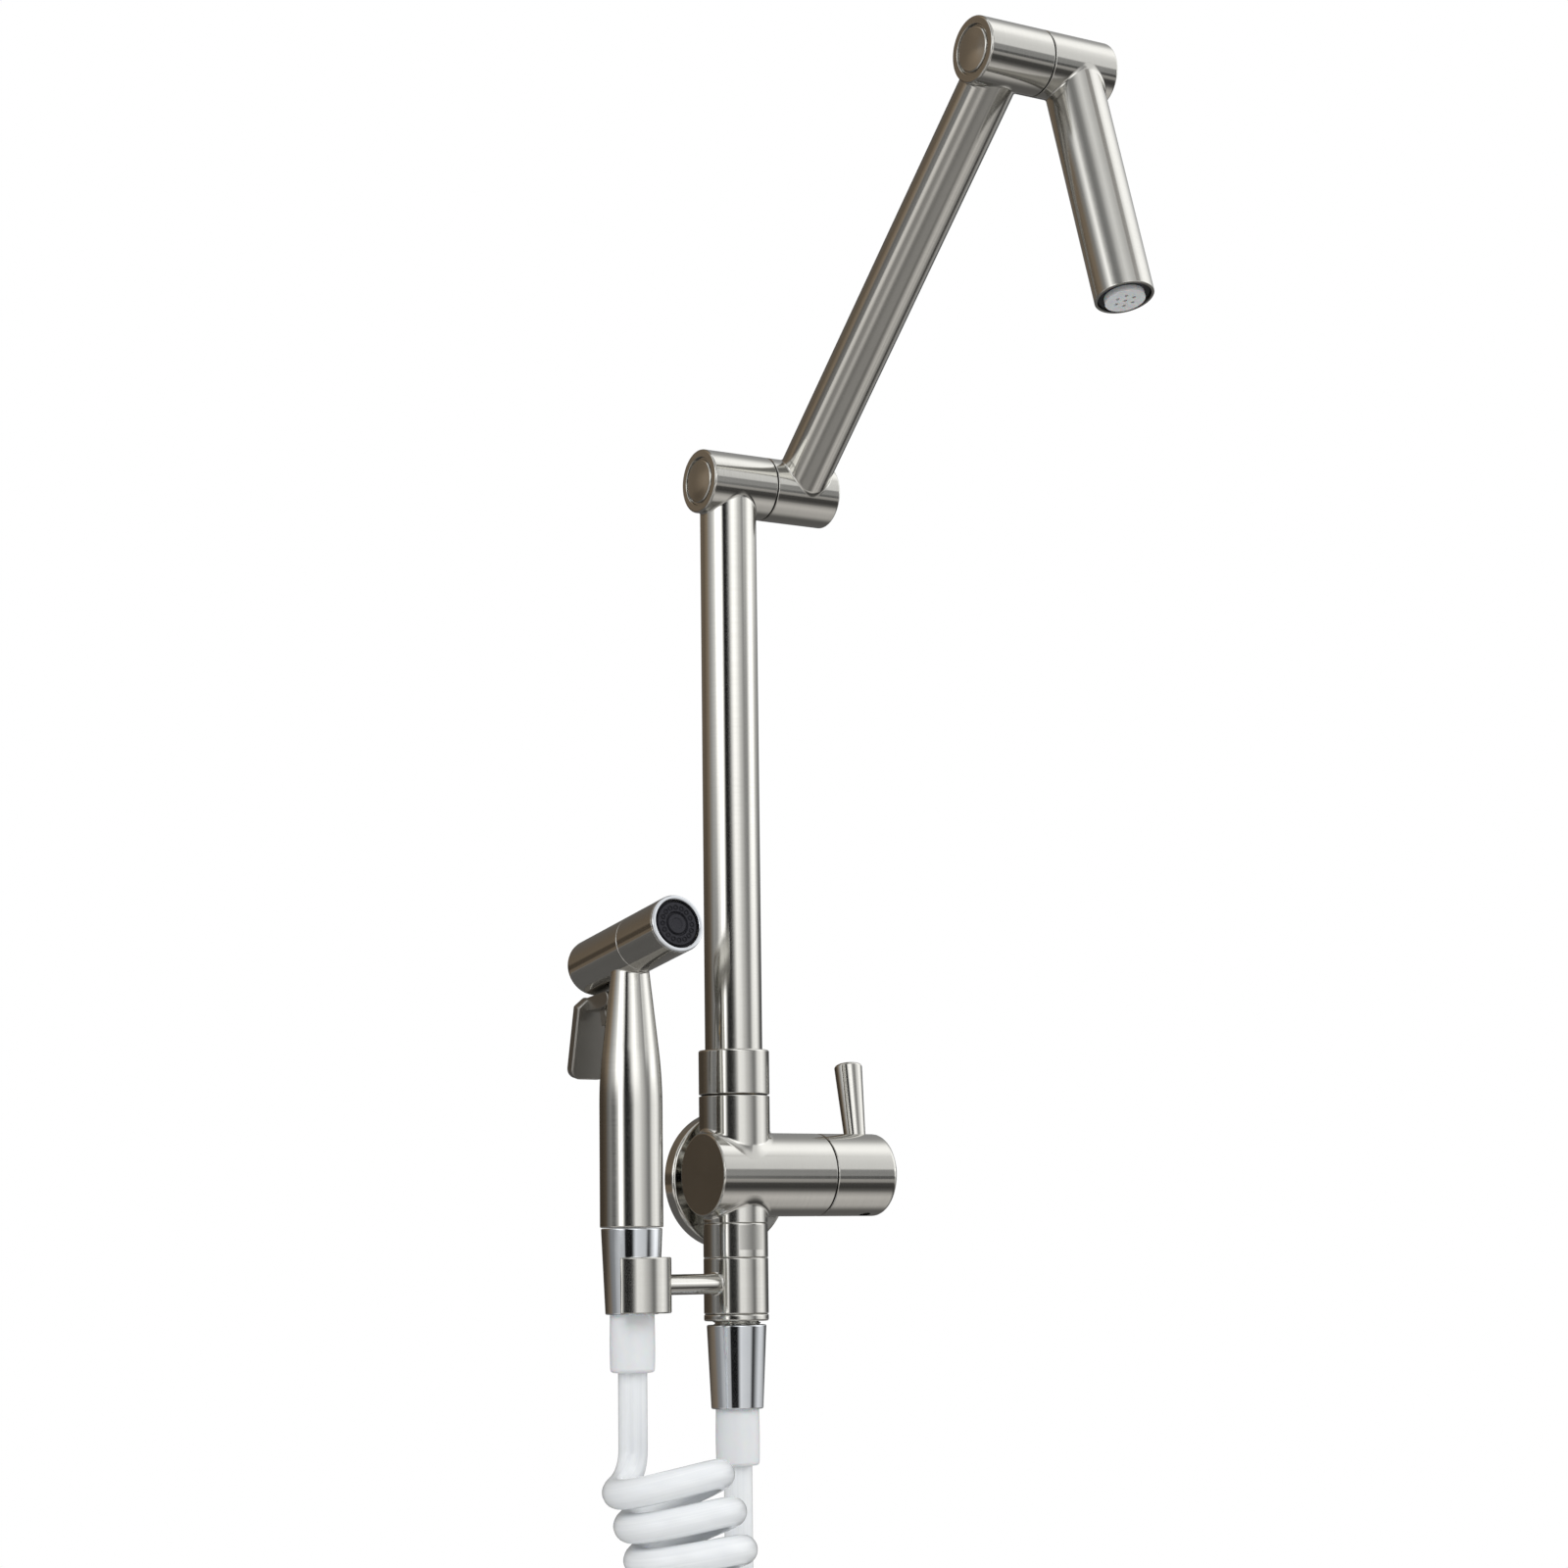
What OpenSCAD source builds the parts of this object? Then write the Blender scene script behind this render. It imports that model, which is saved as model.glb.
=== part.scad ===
// Wall mounted pot filler with a folding spout, a valve handle and a hand spray on a coiled hose.
// X runs along the valve body, -Y points away from the wall and +Z points up. Lengths are in millimetres.
// The origin is on the axis of the water inlet, in the plane of the wall plate's back face.
// The riser stands to the left of the inlet and turns in the body. The arm and the spout fold at two barrels.

/* [Wall mount] */
// Diameter of the round wall plate
flange_d = 60.4; // [50:0.1:90]
// Thickness of the wall plate
flange_t = 7.4; // [5:0.1:10]
// Distance from the wall to the valve axis
wall_gap = 30; // [28:0.5:60]
// Outer diameter of the G 1/2 pipe threads, at the inlet and at both ends of the hose
thread_d = 20.96; // [19:0.01:21.5]
// How far the inlet nipple reaches into the wall
nipple_reach = 14; // [8:0.5:40]
// Bore of the inlet nipple
inlet_bore = 13; // [8:0.5:15]

/* [Valve body] */
// Diameter of the valve body and of the handle cap
body_d = 36.2; // [34:0.1:48]
// Length of the body from the inlet axis to its closed end
body_left = 29.1; // [27:0.1:45]
// Length of the body from the inlet axis to the handle seam
body_right = 29.7; // [27:0.1:45]
// Distance from the inlet axis to the riser axis
riser_side = 12.5; // [11:0.1:15]
// Diameter of the upper neck and of the turning collar above it
neck_d = 30.8; // [29:0.1:40]
// Height of the turning seam over the valve axis
neck_h = 34.2; // [30:0.1:60]
// Diameter of the lower neck and of the pieces that hang under it
stack_d = 28; // [26:0.1:36]
// Depth of the lower neck's face under the valve axis
lower_neck_h = 20.9; // [19.5:0.1:30]
// Bore from the valve up into the riser
riser_bore = 17; // [12:0.5:18]

/* [Handle] */
// Length of the handle cap
cap_len = 31.7; // [26:0.1:50]
// Wall of the handle cap round its hollow
cap_wall = 3; // [2:0.1:4]
// Distance from the seam to the lever's axis
lever_at = 22.7; // [18:0.1:23]
// Length of the lever that stands out of the cap
lever_len = 32.7; // [20:0.1:70]
// Diameter of the lever at its foot
lever_foot_d = 9.6; // [7:0.1:12]
// Diameter of the lever at its tip
lever_tip_d = 12.6; // [8:0.1:16]
// Angle of the lever from upright towards the wall, with the valve shut
lever_back = 14; // [0:1:30]
// Angle of the lever away from the riser
lever_out = 4; // [0:1:12]

/* [Riser] */
// Outer diameter of the riser tube
riser_d = 25; // [24.5:0.1:27]
// Wall of the riser, arm and spout tubes
tube_wall = 1.2; // [0.8:0.1:1.8]
// Height of the turning collar at the foot of the riser
collar_h = 19.3; // [16:0.1:30]
// Height of the elbow's axis over the valve axis
elbow_h = 306.2; // [150:1:500]

/* [Arm and spout] */
// Diameter of the elbow and wrist barrels
barrel_d = 28.5; // [27.5:0.1:36]
// Length of each half of a barrel, from the seam to its end
barrel_half = 33.2; // [32:0.1:45]
// Distance from a barrel's seam to the axis of the tube in that half
seam_to_tube = 18; // [17.5:0.1:20]
// Outer diameter of the arm tube
arm_d = 23.5; // [20:0.1:25]
// Distance between the elbow and wrist axes
arm_len = 224.6; // [120:1:400]
// Angle of the arm from upright at rest
arm_lean = 46; // [30:1:60]
// Outer diameter of the spout tube
spout_d = 25.3; // [23:0.1:26]
// Length of the spout from the wrist axis to its mouth
spout_len = 112.4; // [80:0.1:250]
// Angle of the spout from straight down at rest, away from the wall
spout_lean = 17; // [0:1:30]

/* [Hose fittings and holder] */
// Height of the outlet adaptor's head, which has two flats for a spanner
adaptor_h = 14.3; // [12:0.1:25]
// Distance across the adaptor's spanner flats
adaptor_flats = 25.2; // [24:0.1:26]
// Height of the holder's sleeve
sleeve_h = 23.9; // [20:0.1:40]
// Height of the lock ring under the sleeve
lock_ring_h = 3; // [2:0.1:6]
// Distance from the riser axis to the axis of the hand spray
holder_reach = 65.7; // [58:0.1:90]
// Angle of the holder from the valve axis, away from the wall
holder_turn = 16.3; // [0:0.1:40]
// Diameter of the holder's pin
pin_d = 8.7; // [6:0.1:12]
// Height of the clip ring
clip_h = 23.2; // [12:0.1:26]
// Wall of the clip ring at its top
clip_wall = 3.9; // [2:0.1:6]
// Angle of the clip ring's opening, through which the hose goes in
clip_open = 118; // [90:1:125]
// Angle from the left end of the valve axis to the middle of that opening, towards the wall
clip_open_at = 17; // [-10:1:20]
// Length of a conical hose nut
nut_len = 35.7; // [30:0.1:50]
// Diameter of a hose nut at its top
nut_top_d = 25.8; // [25:0.1:32]
// Diameter of a hose nut at its bottom
nut_foot_d = 22.4; // [21.5:0.1:25]
// Diameter of the hose's end ferrules
ferrule_d = 18.6; // [17:0.1:19]
// Length of a ferrule below its nut
ferrule_drop = 24; // [15:0.1:40]

/* [Hand spray] */
// Height of the hand spray's lower face over the valve axis, negative where it is below
spray_foot = -22.7; // [-26:0.1:-20]
// Diameter of the handle's straight part
grip_d = 26.6; // [25:0.1:32]
// Length of the handle's straight part
grip_len = 62.5; // [40:0.1:90]
// Length of the handle's tapered part
taper_len = 44.6; // [38:0.1:60]
// Diameter of the handle at its narrow top
grip_top_d = 16.4; // [15:0.1:19]
// Diameter of the spray head
head_d = 24.5; // [23.5:0.1:30]
// Length of the spray head in front of the handle's axis
head_front = 40; // [30:0.1:60]
// Length of the spray head behind the handle's axis
head_rear = 36; // [30:0.1:45]
// Angle of the spray head above level
head_tilt = 10.6; // [5:1:20]
// Wall of the head's two shells
shell_wall = 1.5; // [1:0.1:2]
// Width of the trigger
trigger_w = 17.6; // [14:0.1:22]
// Thickness of the trigger's blade
trigger_t = 4.8; // [4:0.1:8]
// Width of the fork that carries the trigger on its pin
fork_w = 9; // [8:0.1:12]
// Number of nozzles in the outer ring of the spray plate
nozzles = 18; // [12:1:24]

/* [Hose] */
// Outer diameter of the hose
hose_d = 12.2; // [10:0.1:13]

/* [Hidden] */
$fn = 64;

// Clearances
fit = 0.05;
gap = 0.3;
seam = 0.7;
washer_t = 0.45;
edge = 0.5;
cut = 1;

nickel = "#b9b3a8";
chrome = "#d9dcdf";
white = "#e6e7e8";
black = "#26272b";
brass = "#c9a95c";
steel = "#9aa0a6";
ceramic = "#efe9dc";
nylon = "#d8d4c8";

// A profile turned about the Z axis
module turned(points) {
    rotate_extrude() polygon(points);
}

// Points of an arc about (x, y), between two angles
function arc(x, y, r, start, end, steps = 6) = [
    for (i = [0:steps]) let (turn = start + (end - start) * i / steps)
    [x + r * cos(turn), y + r * sin(turn)]
];

// Points of a shallow dome's profile, from its rim at height z to its middle
function dome(r, rise, z, steps = 6) =
    let (ball = (r * r + rise * rise) / (2 * rise))
    [for (i = [steps:-1:0]) [r * i / steps, z + rise - ball + sqrt(ball * ball - pow(r * i / steps, 2))]];

// A hexagon's diameter over its corners, from its size across flats
function over_corners(flats) = flats / cos(30);

// Turns a shape that is built along +Z so that it runs along +X
module along_x() {
    rotate([0, 90, 0]) children();
}

// Turns a shape that is built along +Z so that it runs along -Y, away from the wall
module outwards() {
    rotate([90, 0, 0]) children();
}

// Turns a shape that is built along +Z so that it runs along +Y, towards the wall
module wallwards() {
    rotate([-90, 0, 0]) children();
}

// A plain ring along +Z from z0 to z1
module ring(outer_d, inner_d, z0, z1) {
    difference() {
        translate([0, 0, z0]) cylinder(d = outer_d, h = z1 - z0);
        translate([0, 0, z0 - cut]) cylinder(d = inner_d, h = z1 - z0 + 2 * cut);
    }
}

// A round bar along +Z with small chamfers on both ends
module bar(d, z0, z1, chamfer = edge) {
    turned([
        [0, z0], [d / 2 - chamfer, z0], [d / 2, z0 + chamfer],
        [d / 2, z1 - chamfer], [d / 2 - chamfer, z1], [0, z1]
    ]);
}

// Places
riser_axis = [-riser_side, -wall_gap, 0];
spray_axis = riser_axis
    + [-holder_reach * cos(holder_turn), -holder_reach * sin(holder_turn), 0];

// O-rings: a cord of oring_cord in a groove, in a bore of the given diameter
oring_cord = 1.7;
groove_w = 2;

module oring(bore_d, z) {
    translate([0, 0, z])
        rotate_extrude()
            translate([bore_d / 2 - oring_cord / 2 - fit, 0]) circle(d = oring_cord, $fn = 24);
}

module groove(bore_d, z) {
    ring(bore_d + 2 * cut, bore_d - 2 * oring_cord - 4 * fit, z - groove_w / 2, z + groove_w / 2);
}

// WALL PLATE AND INLET

inlet_neck_d = 26;
flange_edge = 1.6;
// The plate's hole is wider than the neck, and the plate hangs on it
flange_play = 1.45;

module wall_flange() {
    color(nickel)
    translate([0, 0, fit - flange_play])
    outwards()
    difference() {
        turned(concat(
            [[0, 0], [flange_d / 2, 0]],
            arc(flange_d / 2 - flange_edge, flange_t - flange_edge, flange_edge, 0, 90),
            [[0, flange_t]]
        ));
        translate([0, 0, -cut]) cylinder(d = inlet_neck_d + 2 * flange_play, h = flange_t + 2 * cut);
    }
}

// The nipple is screwed into the body's inlet neck and reaches into the wall
nipple_grip = 9;
nipple_chamfer = 1;
nipple_relief = 0.6;
neck_end = 1;

module inlet_nipple() {
    color(brass)
    outwards()
    difference() {
        bar(thread_d, -nipple_reach, neck_end + nipple_grip, nipple_chamfer);
        translate([0, 0, -nipple_reach - cut])
            cylinder(d = inlet_bore, h = nipple_reach + nipple_grip + neck_end + 2 * cut);
        // Thread relief between the wall and the body's neck
        ring(thread_d + cut, thread_d - 2 * nipple_relief, 0, neck_end);
    }
}

// VALVE BODY

// Rooms inside the body, along X: the outlet room under the riser, the partition and the cartridge room
outlet_room_d = 19;
room_margin = 1;
outlet_room_l = -riser_side - riser_bore / 2 - room_margin;
partition_t = 1.7;
seat_x = -riser_side + riser_bore / 2 + room_margin + partition_t;
seat_bore = 11;
room_r = body_right - seam / 2;

// Cartridge, from its seat towards the handle
seal_t = 1.5;
seal_bore = 13;
disc_t = 3;
disc_d = 17.8;
driver_t = 2.6;
cartridge_d = 21.2;
cartridge_room_d = 25;
shoulder_t = 9;
fixed_disc_x = seat_x + seal_t;
moving_disc_x = fixed_disc_x + disc_t + fit;
driver_x = moving_disc_x + disc_t + fit;
shoulder_x = driver_x + driver_t + fit;
cartridge_end = shoulder_x + shoulder_t;
cartridge_flange_t = 4;
cartridge_nut_t = 7;
stem_d = 9.6;
spline_d = 9;

port_d = 8;
port_x = seat_x + 5;
adaptor_shank_d = 16.8;
adaptor_shank = 10;
spigot_d = 20.8;
spigot_thread = 12;

module valve_body() {
    color(nickel)
    difference() {
        union() {
            translate([0, -wall_gap, 0]) along_x() bar(body_d, -body_left, room_r);
            translate(riser_axis) cylinder(d = neck_d, h = neck_h - seam / 2);
            translate(riser_axis + [0, 0, -lower_neck_h]) cylinder(d = stack_d, h = lower_neck_h);
            translate([0, -neck_end, 0])
                outwards() cylinder(d = inlet_neck_d, h = wall_gap - neck_end);
        }
        // Outlet room, seat and cartridge room
        translate([outlet_room_l, -wall_gap, 0])
            along_x() cylinder(d = outlet_room_d, h = seat_x - partition_t - outlet_room_l);
        translate([outlet_room_l, -wall_gap, 0])
            along_x() cylinder(d = seat_bore, h = seat_x - outlet_room_l + cut);
        translate([seat_x, -wall_gap, 0])
            along_x() cylinder(d = cartridge_room_d, h = room_r - seat_x + cut);
        // Up to the riser, and the thread that holds the spigot
        translate(riser_axis) cylinder(d = riser_bore, h = neck_h + cut);
        translate(riser_axis + [0, 0, neck_h - seam / 2 - spigot_thread])
            cylinder(d = spigot_d + 2 * fit, h = spigot_thread + cut);
        // Down to the hose
        translate(riser_axis + [0, 0, -lower_neck_h - cut])
            cylinder(d = adaptor_shank_d + 2 * fit, h = lower_neck_h + cut);
        // In from the wall, with a smaller port into the cartridge room
        outwards()
            translate([0, 0, -cut])
                cylinder(d = thread_d + 2 * fit, h = cut + neck_end + nipple_grip + gap);
        translate([port_x, 0, 0])
            outwards() cylinder(d = port_d, h = wall_gap - body_d / 4);
    }
}

// CARTRIDGE

disc_hole = 4.2;
disc_hole_at = 4.6;
disc_chamfer = 0.3;

module ceramic_disc(x) {
    color(ceramic)
    translate([x, -wall_gap, 0])
    along_x()
    difference() {
        bar(disc_d, 0, disc_t, disc_chamfer);
        for (side = [-1, 1])
            translate([0, side * disc_hole_at, -cut]) cylinder(d = disc_hole, h = disc_t + 2 * cut);
    }
}

module fixed_ceramic_disc() {
    ceramic_disc(fixed_disc_x);
}

module moving_ceramic_disc() {
    ceramic_disc(moving_disc_x);
}

module cartridge_seal() {
    color(black)
    translate([seat_x, -wall_gap, 0])
    along_x() ring(disc_d, seal_bore, 0, seal_t);
}

module cartridge_housing() {
    window_x = driver_x + driver_t / 2;
    color(brass)
    translate([0, -wall_gap, 0])
    along_x()
    difference() {
        union() {
            translate([0, 0, fixed_disc_x]) cylinder(d = cartridge_d, h = cartridge_end - fixed_disc_x);
            translate([0, 0, cartridge_end - cartridge_flange_t])
                cylinder(d = cartridge_room_d - 2 * fit, h = cartridge_flange_t);
        }
        translate([0, 0, fixed_disc_x - cut])
            cylinder(d = disc_d + 2 * fit, h = shoulder_x - fixed_disc_x + cut);
        cylinder(d = stem_d + 2 * fit, h = cartridge_end + cut);
        for (turn = [0, 90])
            translate([0, 0, window_x]) rotate([90, 0, turn])
                cylinder(d = driver_t, h = 2 * cartridge_d, center = true);
    }
}

// The nut has a hexagonal socket and holds the cartridge in the body
nut_hex = 17;
stem_play = 0.5;

module cartridge_nut() {
    nut_x = cartridge_end + fit;
    color(brass)
    translate([nut_x, -wall_gap, 0])
    along_x()
    difference() {
        bar(cartridge_room_d - 2 * fit, 0, cartridge_nut_t);
        translate([0, 0, -cut]) cylinder(d = stem_d + 2 * stem_play, h = cartridge_nut_t + 2 * cut);
        translate([0, 0, cartridge_nut_t / 2])
            cylinder(d = over_corners(nut_hex), h = cartridge_nut_t, $fn = 6);
    }
}

// Handle cap positions, from the seam
cap_x = body_right + seam / 2;
cap_end = cap_x + cap_len;
cap_solid = 16.5;
cap_solid_x = cap_end - cap_solid;
stem_cover = 5;
stem_end = cap_end - stem_cover;

module cartridge_stem() {
    color(brass)
    translate([0, -wall_gap, 0])
    along_x()
    translate([0, 0, driver_x]) {
        cylinder(d = disc_d, h = driver_t);
        cylinder(d = stem_d, h = cap_solid_x - gap - driver_x);
        cylinder(d = spline_d, h = stem_end - driver_x);
    }
}

// HANDLE

lever_x = cap_x - seam / 2 + lever_at;
lever_shank_d = 6;
lever_shank = 9;
lever_sunk = 2;
lever_round = 1.2;
lever_dome = 0.4;
grub_d = 5;
grub_recess = 4.5;
grub_len = body_d / 2 - grub_recess - spline_d / 2 - 2 * fit;
grub_hex = 2.5;
cap_round = 2.5;

// Places a lever shape, built along +Z from the valve axis, on the handle cap
module on_lever_axis() {
    translate([lever_x, -wall_gap, 0]) rotate([-lever_back, 0, 0]) rotate([0, lever_out, 0]) children();
}

module handle_cap() {
    color(nickel)
    difference() {
        translate([0, -wall_gap, 0])
        along_x()
        difference() {
            turned(concat(
                [[0, cap_x], [body_d / 2 - edge, cap_x], [body_d / 2, cap_x + edge]],
                arc(body_d / 2 - cap_round, cap_end - cap_round, cap_round, 0, 90),
                [[0, cap_end]]
            ));
            translate([0, 0, cap_x - cut])
                cylinder(d = body_d - 2 * cap_wall, h = cap_solid_x - cap_x + cut);
            cylinder(d = spline_d + 2 * fit, h = stem_end + gap);
        }
        on_lever_axis()
            translate([0, 0, body_d / 2 - lever_shank])
                cylinder(d = lever_shank_d + 2 * fit, h = lever_shank + cut);
        translate([lever_x, -wall_gap, 0])
            rotate([180 - lever_back, 0, 0]) cylinder(d = grub_d + 2 * fit, h = body_d);
    }
}

module handle_lever() {
    foot_z = body_d / 2 - lever_sunk;
    tip_z = body_d / 2 + lever_len;
    tip_flat = lever_tip_d / 2 - lever_round;
    color(nickel)
    difference() {
        on_lever_axis()
            turned(concat(
                [[0, foot_z], [lever_foot_d / 2, foot_z], [lever_foot_d / 2, body_d / 2]],
                arc(tip_flat, tip_z - lever_round, lever_round, 0, 90),
                dome(tip_flat, lever_dome, tip_z)
            ));
        translate([0, -wall_gap, 0])
            along_x() cylinder(d = body_d + 2 * fit, h = cap_end + cut);
    }
    color(nickel)
    on_lever_axis()
        translate([0, 0, body_d / 2 - lever_shank + gap])
            cylinder(d = lever_shank_d, h = lever_shank);
}

module grub_screw(d, len, hex) {
    difference() {
        bar(d, 0, len, 0.1 * d);
        translate([0, 0, len / 2]) cylinder(d = over_corners(hex), h = len, $fn = 6);
    }
}

module handle_grub_screw() {
    color(steel)
    translate([lever_x, -wall_gap, 0])
        rotate([180 - lever_back, 0, 0])
            translate([0, 0, spline_d / 2 + 2 * fit]) grub_screw(grub_d, grub_len, grub_hex);
}

// RISER

collar_z = neck_h + seam / 2;
collar_top = collar_z + collar_h;
collar_floor = 10;
tube_seat = collar_z + collar_floor;
spigot_rise = 6;
spigot_top = tube_seat + spigot_rise;
spigot_bore = 14;
collar_groove_z = collar_z + collar_floor / 2;
oring_step = 3.2;
riser_oring_places = [collar_groove_z - oring_step, collar_groove_z + oring_step];
collar_grub_d = 3;
collar_grub_len = 4.6;
collar_grub_hex = 1.5;
collar_groove_w = collar_grub_d + 2 * gap;
collar_groove_depth = 1;

// The spigot is screwed into the body's neck, and the riser turns on it
module riser_spigot() {
    color(brass)
    translate(riser_axis)
    difference() {
        bar(spigot_d, neck_h - seam / 2 - spigot_thread + gap, spigot_top);
        translate([0, 0, neck_h - spigot_thread - cut])
            cylinder(d = spigot_bore, h = spigot_top);
        for (z = riser_oring_places)
            groove(spigot_d + 2 * fit, z);
        ring(spigot_d + cut, spigot_d - 2 * collar_groove_depth,
            collar_groove_z - collar_groove_w / 2, collar_groove_z + collar_groove_w / 2);
    }
}

module riser_orings() {
    color(black)
    translate(riser_axis)
    for (z = riser_oring_places)
        oring(spigot_d + 2 * fit, z);
}

// A thin plastic washer between the two sides of a turning seam
washer_inset = 1;

module slip_ring(bore_d, outer_d) {
    ring(outer_d - 2 * washer_inset, bore_d + gap, 0, washer_t);
}

module riser_slip_washer() {
    color(white)
    translate(riser_axis + [0, 0, neck_h - seam / 2])
        slip_ring(spigot_d, neck_d);
}

module riser_collar() {
    color(nickel)
    translate(riser_axis)
    difference() {
        bar(neck_d, collar_z, collar_top);
        translate([0, 0, collar_z - cut]) cylinder(d = spigot_d + 2 * fit, h = collar_h + 2 * cut);
        translate([0, 0, tube_seat]) cylinder(d = riser_d + 2 * fit, h = collar_h);
        translate([0, 0, collar_groove_z]) wallwards() cylinder(d = collar_grub_d + 2 * fit, h = neck_d);
    }
}

// A grub screw at the back of the collar runs in the spigot's groove and keeps the riser down
module collar_grub_screw() {
    color(steel)
    translate(riser_axis + [0, spigot_d / 2 - collar_groove_depth + gap, collar_groove_z])
        wallwards() grub_screw(collar_grub_d, collar_grub_len, collar_grub_hex);
}

// Distance from a barrel's axis to the flat end of the tube that is brazed into it
socket_floor = 11;

module riser_tube() {
    color(nickel)
    translate(riser_axis) ring(riser_d, riser_d - 2 * tube_wall, tube_seat, elbow_h - socket_floor);
}

// BARREL JOINTS
// Each barrel is built along +X with its seam at X = 0. The spindle is screwed into the right half,
// turns in the left half and is kept there by a circlip under the end cap.

spindle_d = 18;
shank_d = 16;
shank_len = 10;
spindle_bore = 10;
spindle_wall = 5;
port_in_spindle = 7;
cap_d = 21.2;
cap_t = 2.2;
cap_dome = 0.5;
cap_disc_d = 19.6;
cap_disc_round = 0.8;
cap_step = 1;
clip_room_d = 19.8;
clip_room = 3;
clip_t = 1;
clip_play = 0.1;
clip_opening = 2.4;
clip_groove_d = 13.8;
spindle_tip_d = 15;
gallery_d = 21.4;
chamber_d = 17;
passage_d = 10;
left_x = -barrel_half;
shoulder_at = left_x + cap_t + gap + clip_room;
clip_x = shoulder_at - gap - clip_t;
oring_inset = 3.4;
barrel_oring_places = [shoulder_at + oring_inset, -oring_inset];

// Left half, with the tube's socket towards -Z
module left_half(tube_d) {
    color(nickel)
    difference() {
        along_x() bar(barrel_d, left_x, -seam / 2);
        along_x() translate([0, 0, left_x - cut]) cylinder(d = cap_d + 2 * fit, h = cap_t + gap + cut);
        along_x() translate([0, 0, left_x]) cylinder(d = clip_room_d, h = cap_t + gap + clip_room);
        along_x() translate([0, 0, left_x]) cylinder(d = spindle_d + 2 * fit, h = barrel_half + cut);
        translate([-seam_to_tube - passage_d / 2, 0, 0])
            along_x() cylinder(d = gallery_d, h = passage_d);
        translate([-seam_to_tube, 0, -socket_floor - cut]) cylinder(d = passage_d, h = socket_floor);
        translate([-seam_to_tube, 0, -barrel_d]) cylinder(d = tube_d + 2 * fit, h = barrel_d - socket_floor);
    }
}

// Right half, closed at its end, with the tube's socket towards +Z
module right_half(tube_d) {
    color(nickel)
    difference() {
        along_x() bar(barrel_d, seam / 2, barrel_half);
        along_x() cylinder(d = shank_d + 2 * fit, h = seam / 2 + shank_len + gap);
        along_x() cylinder(d = spindle_bore, h = seam_to_tube);
        translate([seam_to_tube, 0, 0]) sphere(d = chamber_d);
        translate([seam_to_tube, 0, 0]) cylinder(d = passage_d, h = socket_floor + cut);
        translate([seam_to_tube, 0, socket_floor]) cylinder(d = tube_d + 2 * fit, h = barrel_d);
    }
}

// The cap's domed disc stands over a step at its rim
module end_cap() {
    color(nickel)
    along_x()
    mirror([0, 0, 1])
        turned(concat(
            [[0, -left_x - cap_t], [cap_d / 2, -left_x - cap_t], [cap_d / 2, -left_x - cap_step],
                [cap_disc_d / 2, -left_x - cap_step]],
            arc(cap_disc_d / 2 - cap_disc_round, -left_x - cap_disc_round, cap_disc_round, 0, 90),
            dome(cap_disc_d / 2 - cap_disc_round, cap_dome, -left_x)
        ));
}

module slip_washer() {
    color(white)
    translate([-seam / 2, 0, 0]) along_x() slip_ring(spindle_d, barrel_d);
}

module spindle() {
    color(brass)
    difference() {
        union() {
            translate([shoulder_at + gap, 0, 0])
                along_x() cylinder(d = spindle_d, h = seam / 2 - shoulder_at - gap);
            along_x() cylinder(d = shank_d, h = seam / 2 + shank_len);
            translate([left_x + cap_t + 2 * gap, 0, 0])
                along_x() cylinder(d = spindle_tip_d, h = barrel_half - cap_t - 2 * gap);
        }
        translate([shoulder_at + spindle_wall, 0, 0])
            along_x() cylinder(d = spindle_bore, h = 2 * barrel_half);
        for (turn = [0, 90])
            translate([-seam_to_tube, 0, 0]) rotate([turn, 0, 0])
                cylinder(d = port_in_spindle, h = 2 * spindle_d, center = true);
        along_x() {
            for (x = barrel_oring_places)
                groove(spindle_d + 2 * fit, x);
            ring(spindle_tip_d + cut, clip_groove_d, clip_x - clip_play, clip_x + clip_t + clip_play);
        }
    }
}

module barrel_orings() {
    color(black)
    along_x()
    for (x = barrel_oring_places)
        oring(spindle_d + 2 * fit, x);
}

module circlip() {
    color(steel)
    along_x()
    difference() {
        ring(clip_room_d - 2 * gap, clip_groove_d + 2 * fit, clip_x, clip_x + clip_t);
        translate([0, -clip_opening / 2, clip_x - cut]) cube([clip_room_d, clip_opening, clip_t + 2 * cut]);
    }
}

elbow_at = riser_axis + [seam_to_tube, 0, elbow_h];
wrist_shift = [2 * seam_to_tube, 0, arm_len];
spout_fold = 180 - spout_lean - arm_lean;

module at_elbow() {
    translate(elbow_at) children();
}

// The arm's own frame: +Z runs from the elbow to the wrist
module on_arm() {
    at_elbow() rotate([arm_lean, 0, 0]) children();
}

module at_wrist() {
    on_arm() translate(wrist_shift) children();
}

// The spout's own frame: +Z runs from the wrist to the mouth
module on_spout() {
    at_wrist() rotate([spout_fold, 0, 0]) children();
}

module elbow_riser_housing() {
    at_elbow() left_half(riser_d);
}

module elbow_end_cap() {
    at_elbow() end_cap();
}

module elbow_slip_washer() {
    at_elbow() slip_washer();
}

module elbow_arm_housing() {
    on_arm() right_half(arm_d);
}

module elbow_spindle() {
    on_arm() spindle();
}

module elbow_orings() {
    on_arm() barrel_orings();
}

module elbow_circlip() {
    on_arm() circlip();
}

module arm_tube() {
    color(nickel)
    on_arm() translate([seam_to_tube, 0, 0])
        ring(arm_d, arm_d - 2 * tube_wall, socket_floor, arm_len - socket_floor);
}

module wrist_arm_housing() {
    at_wrist() left_half(arm_d);
}

module wrist_end_cap() {
    at_wrist() end_cap();
}

module wrist_slip_washer() {
    at_wrist() slip_washer();
}

module wrist_spout_housing() {
    on_spout() right_half(spout_d);
}

module wrist_spindle() {
    on_spout() spindle();
}

module wrist_orings() {
    on_spout() barrel_orings();
}

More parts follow.
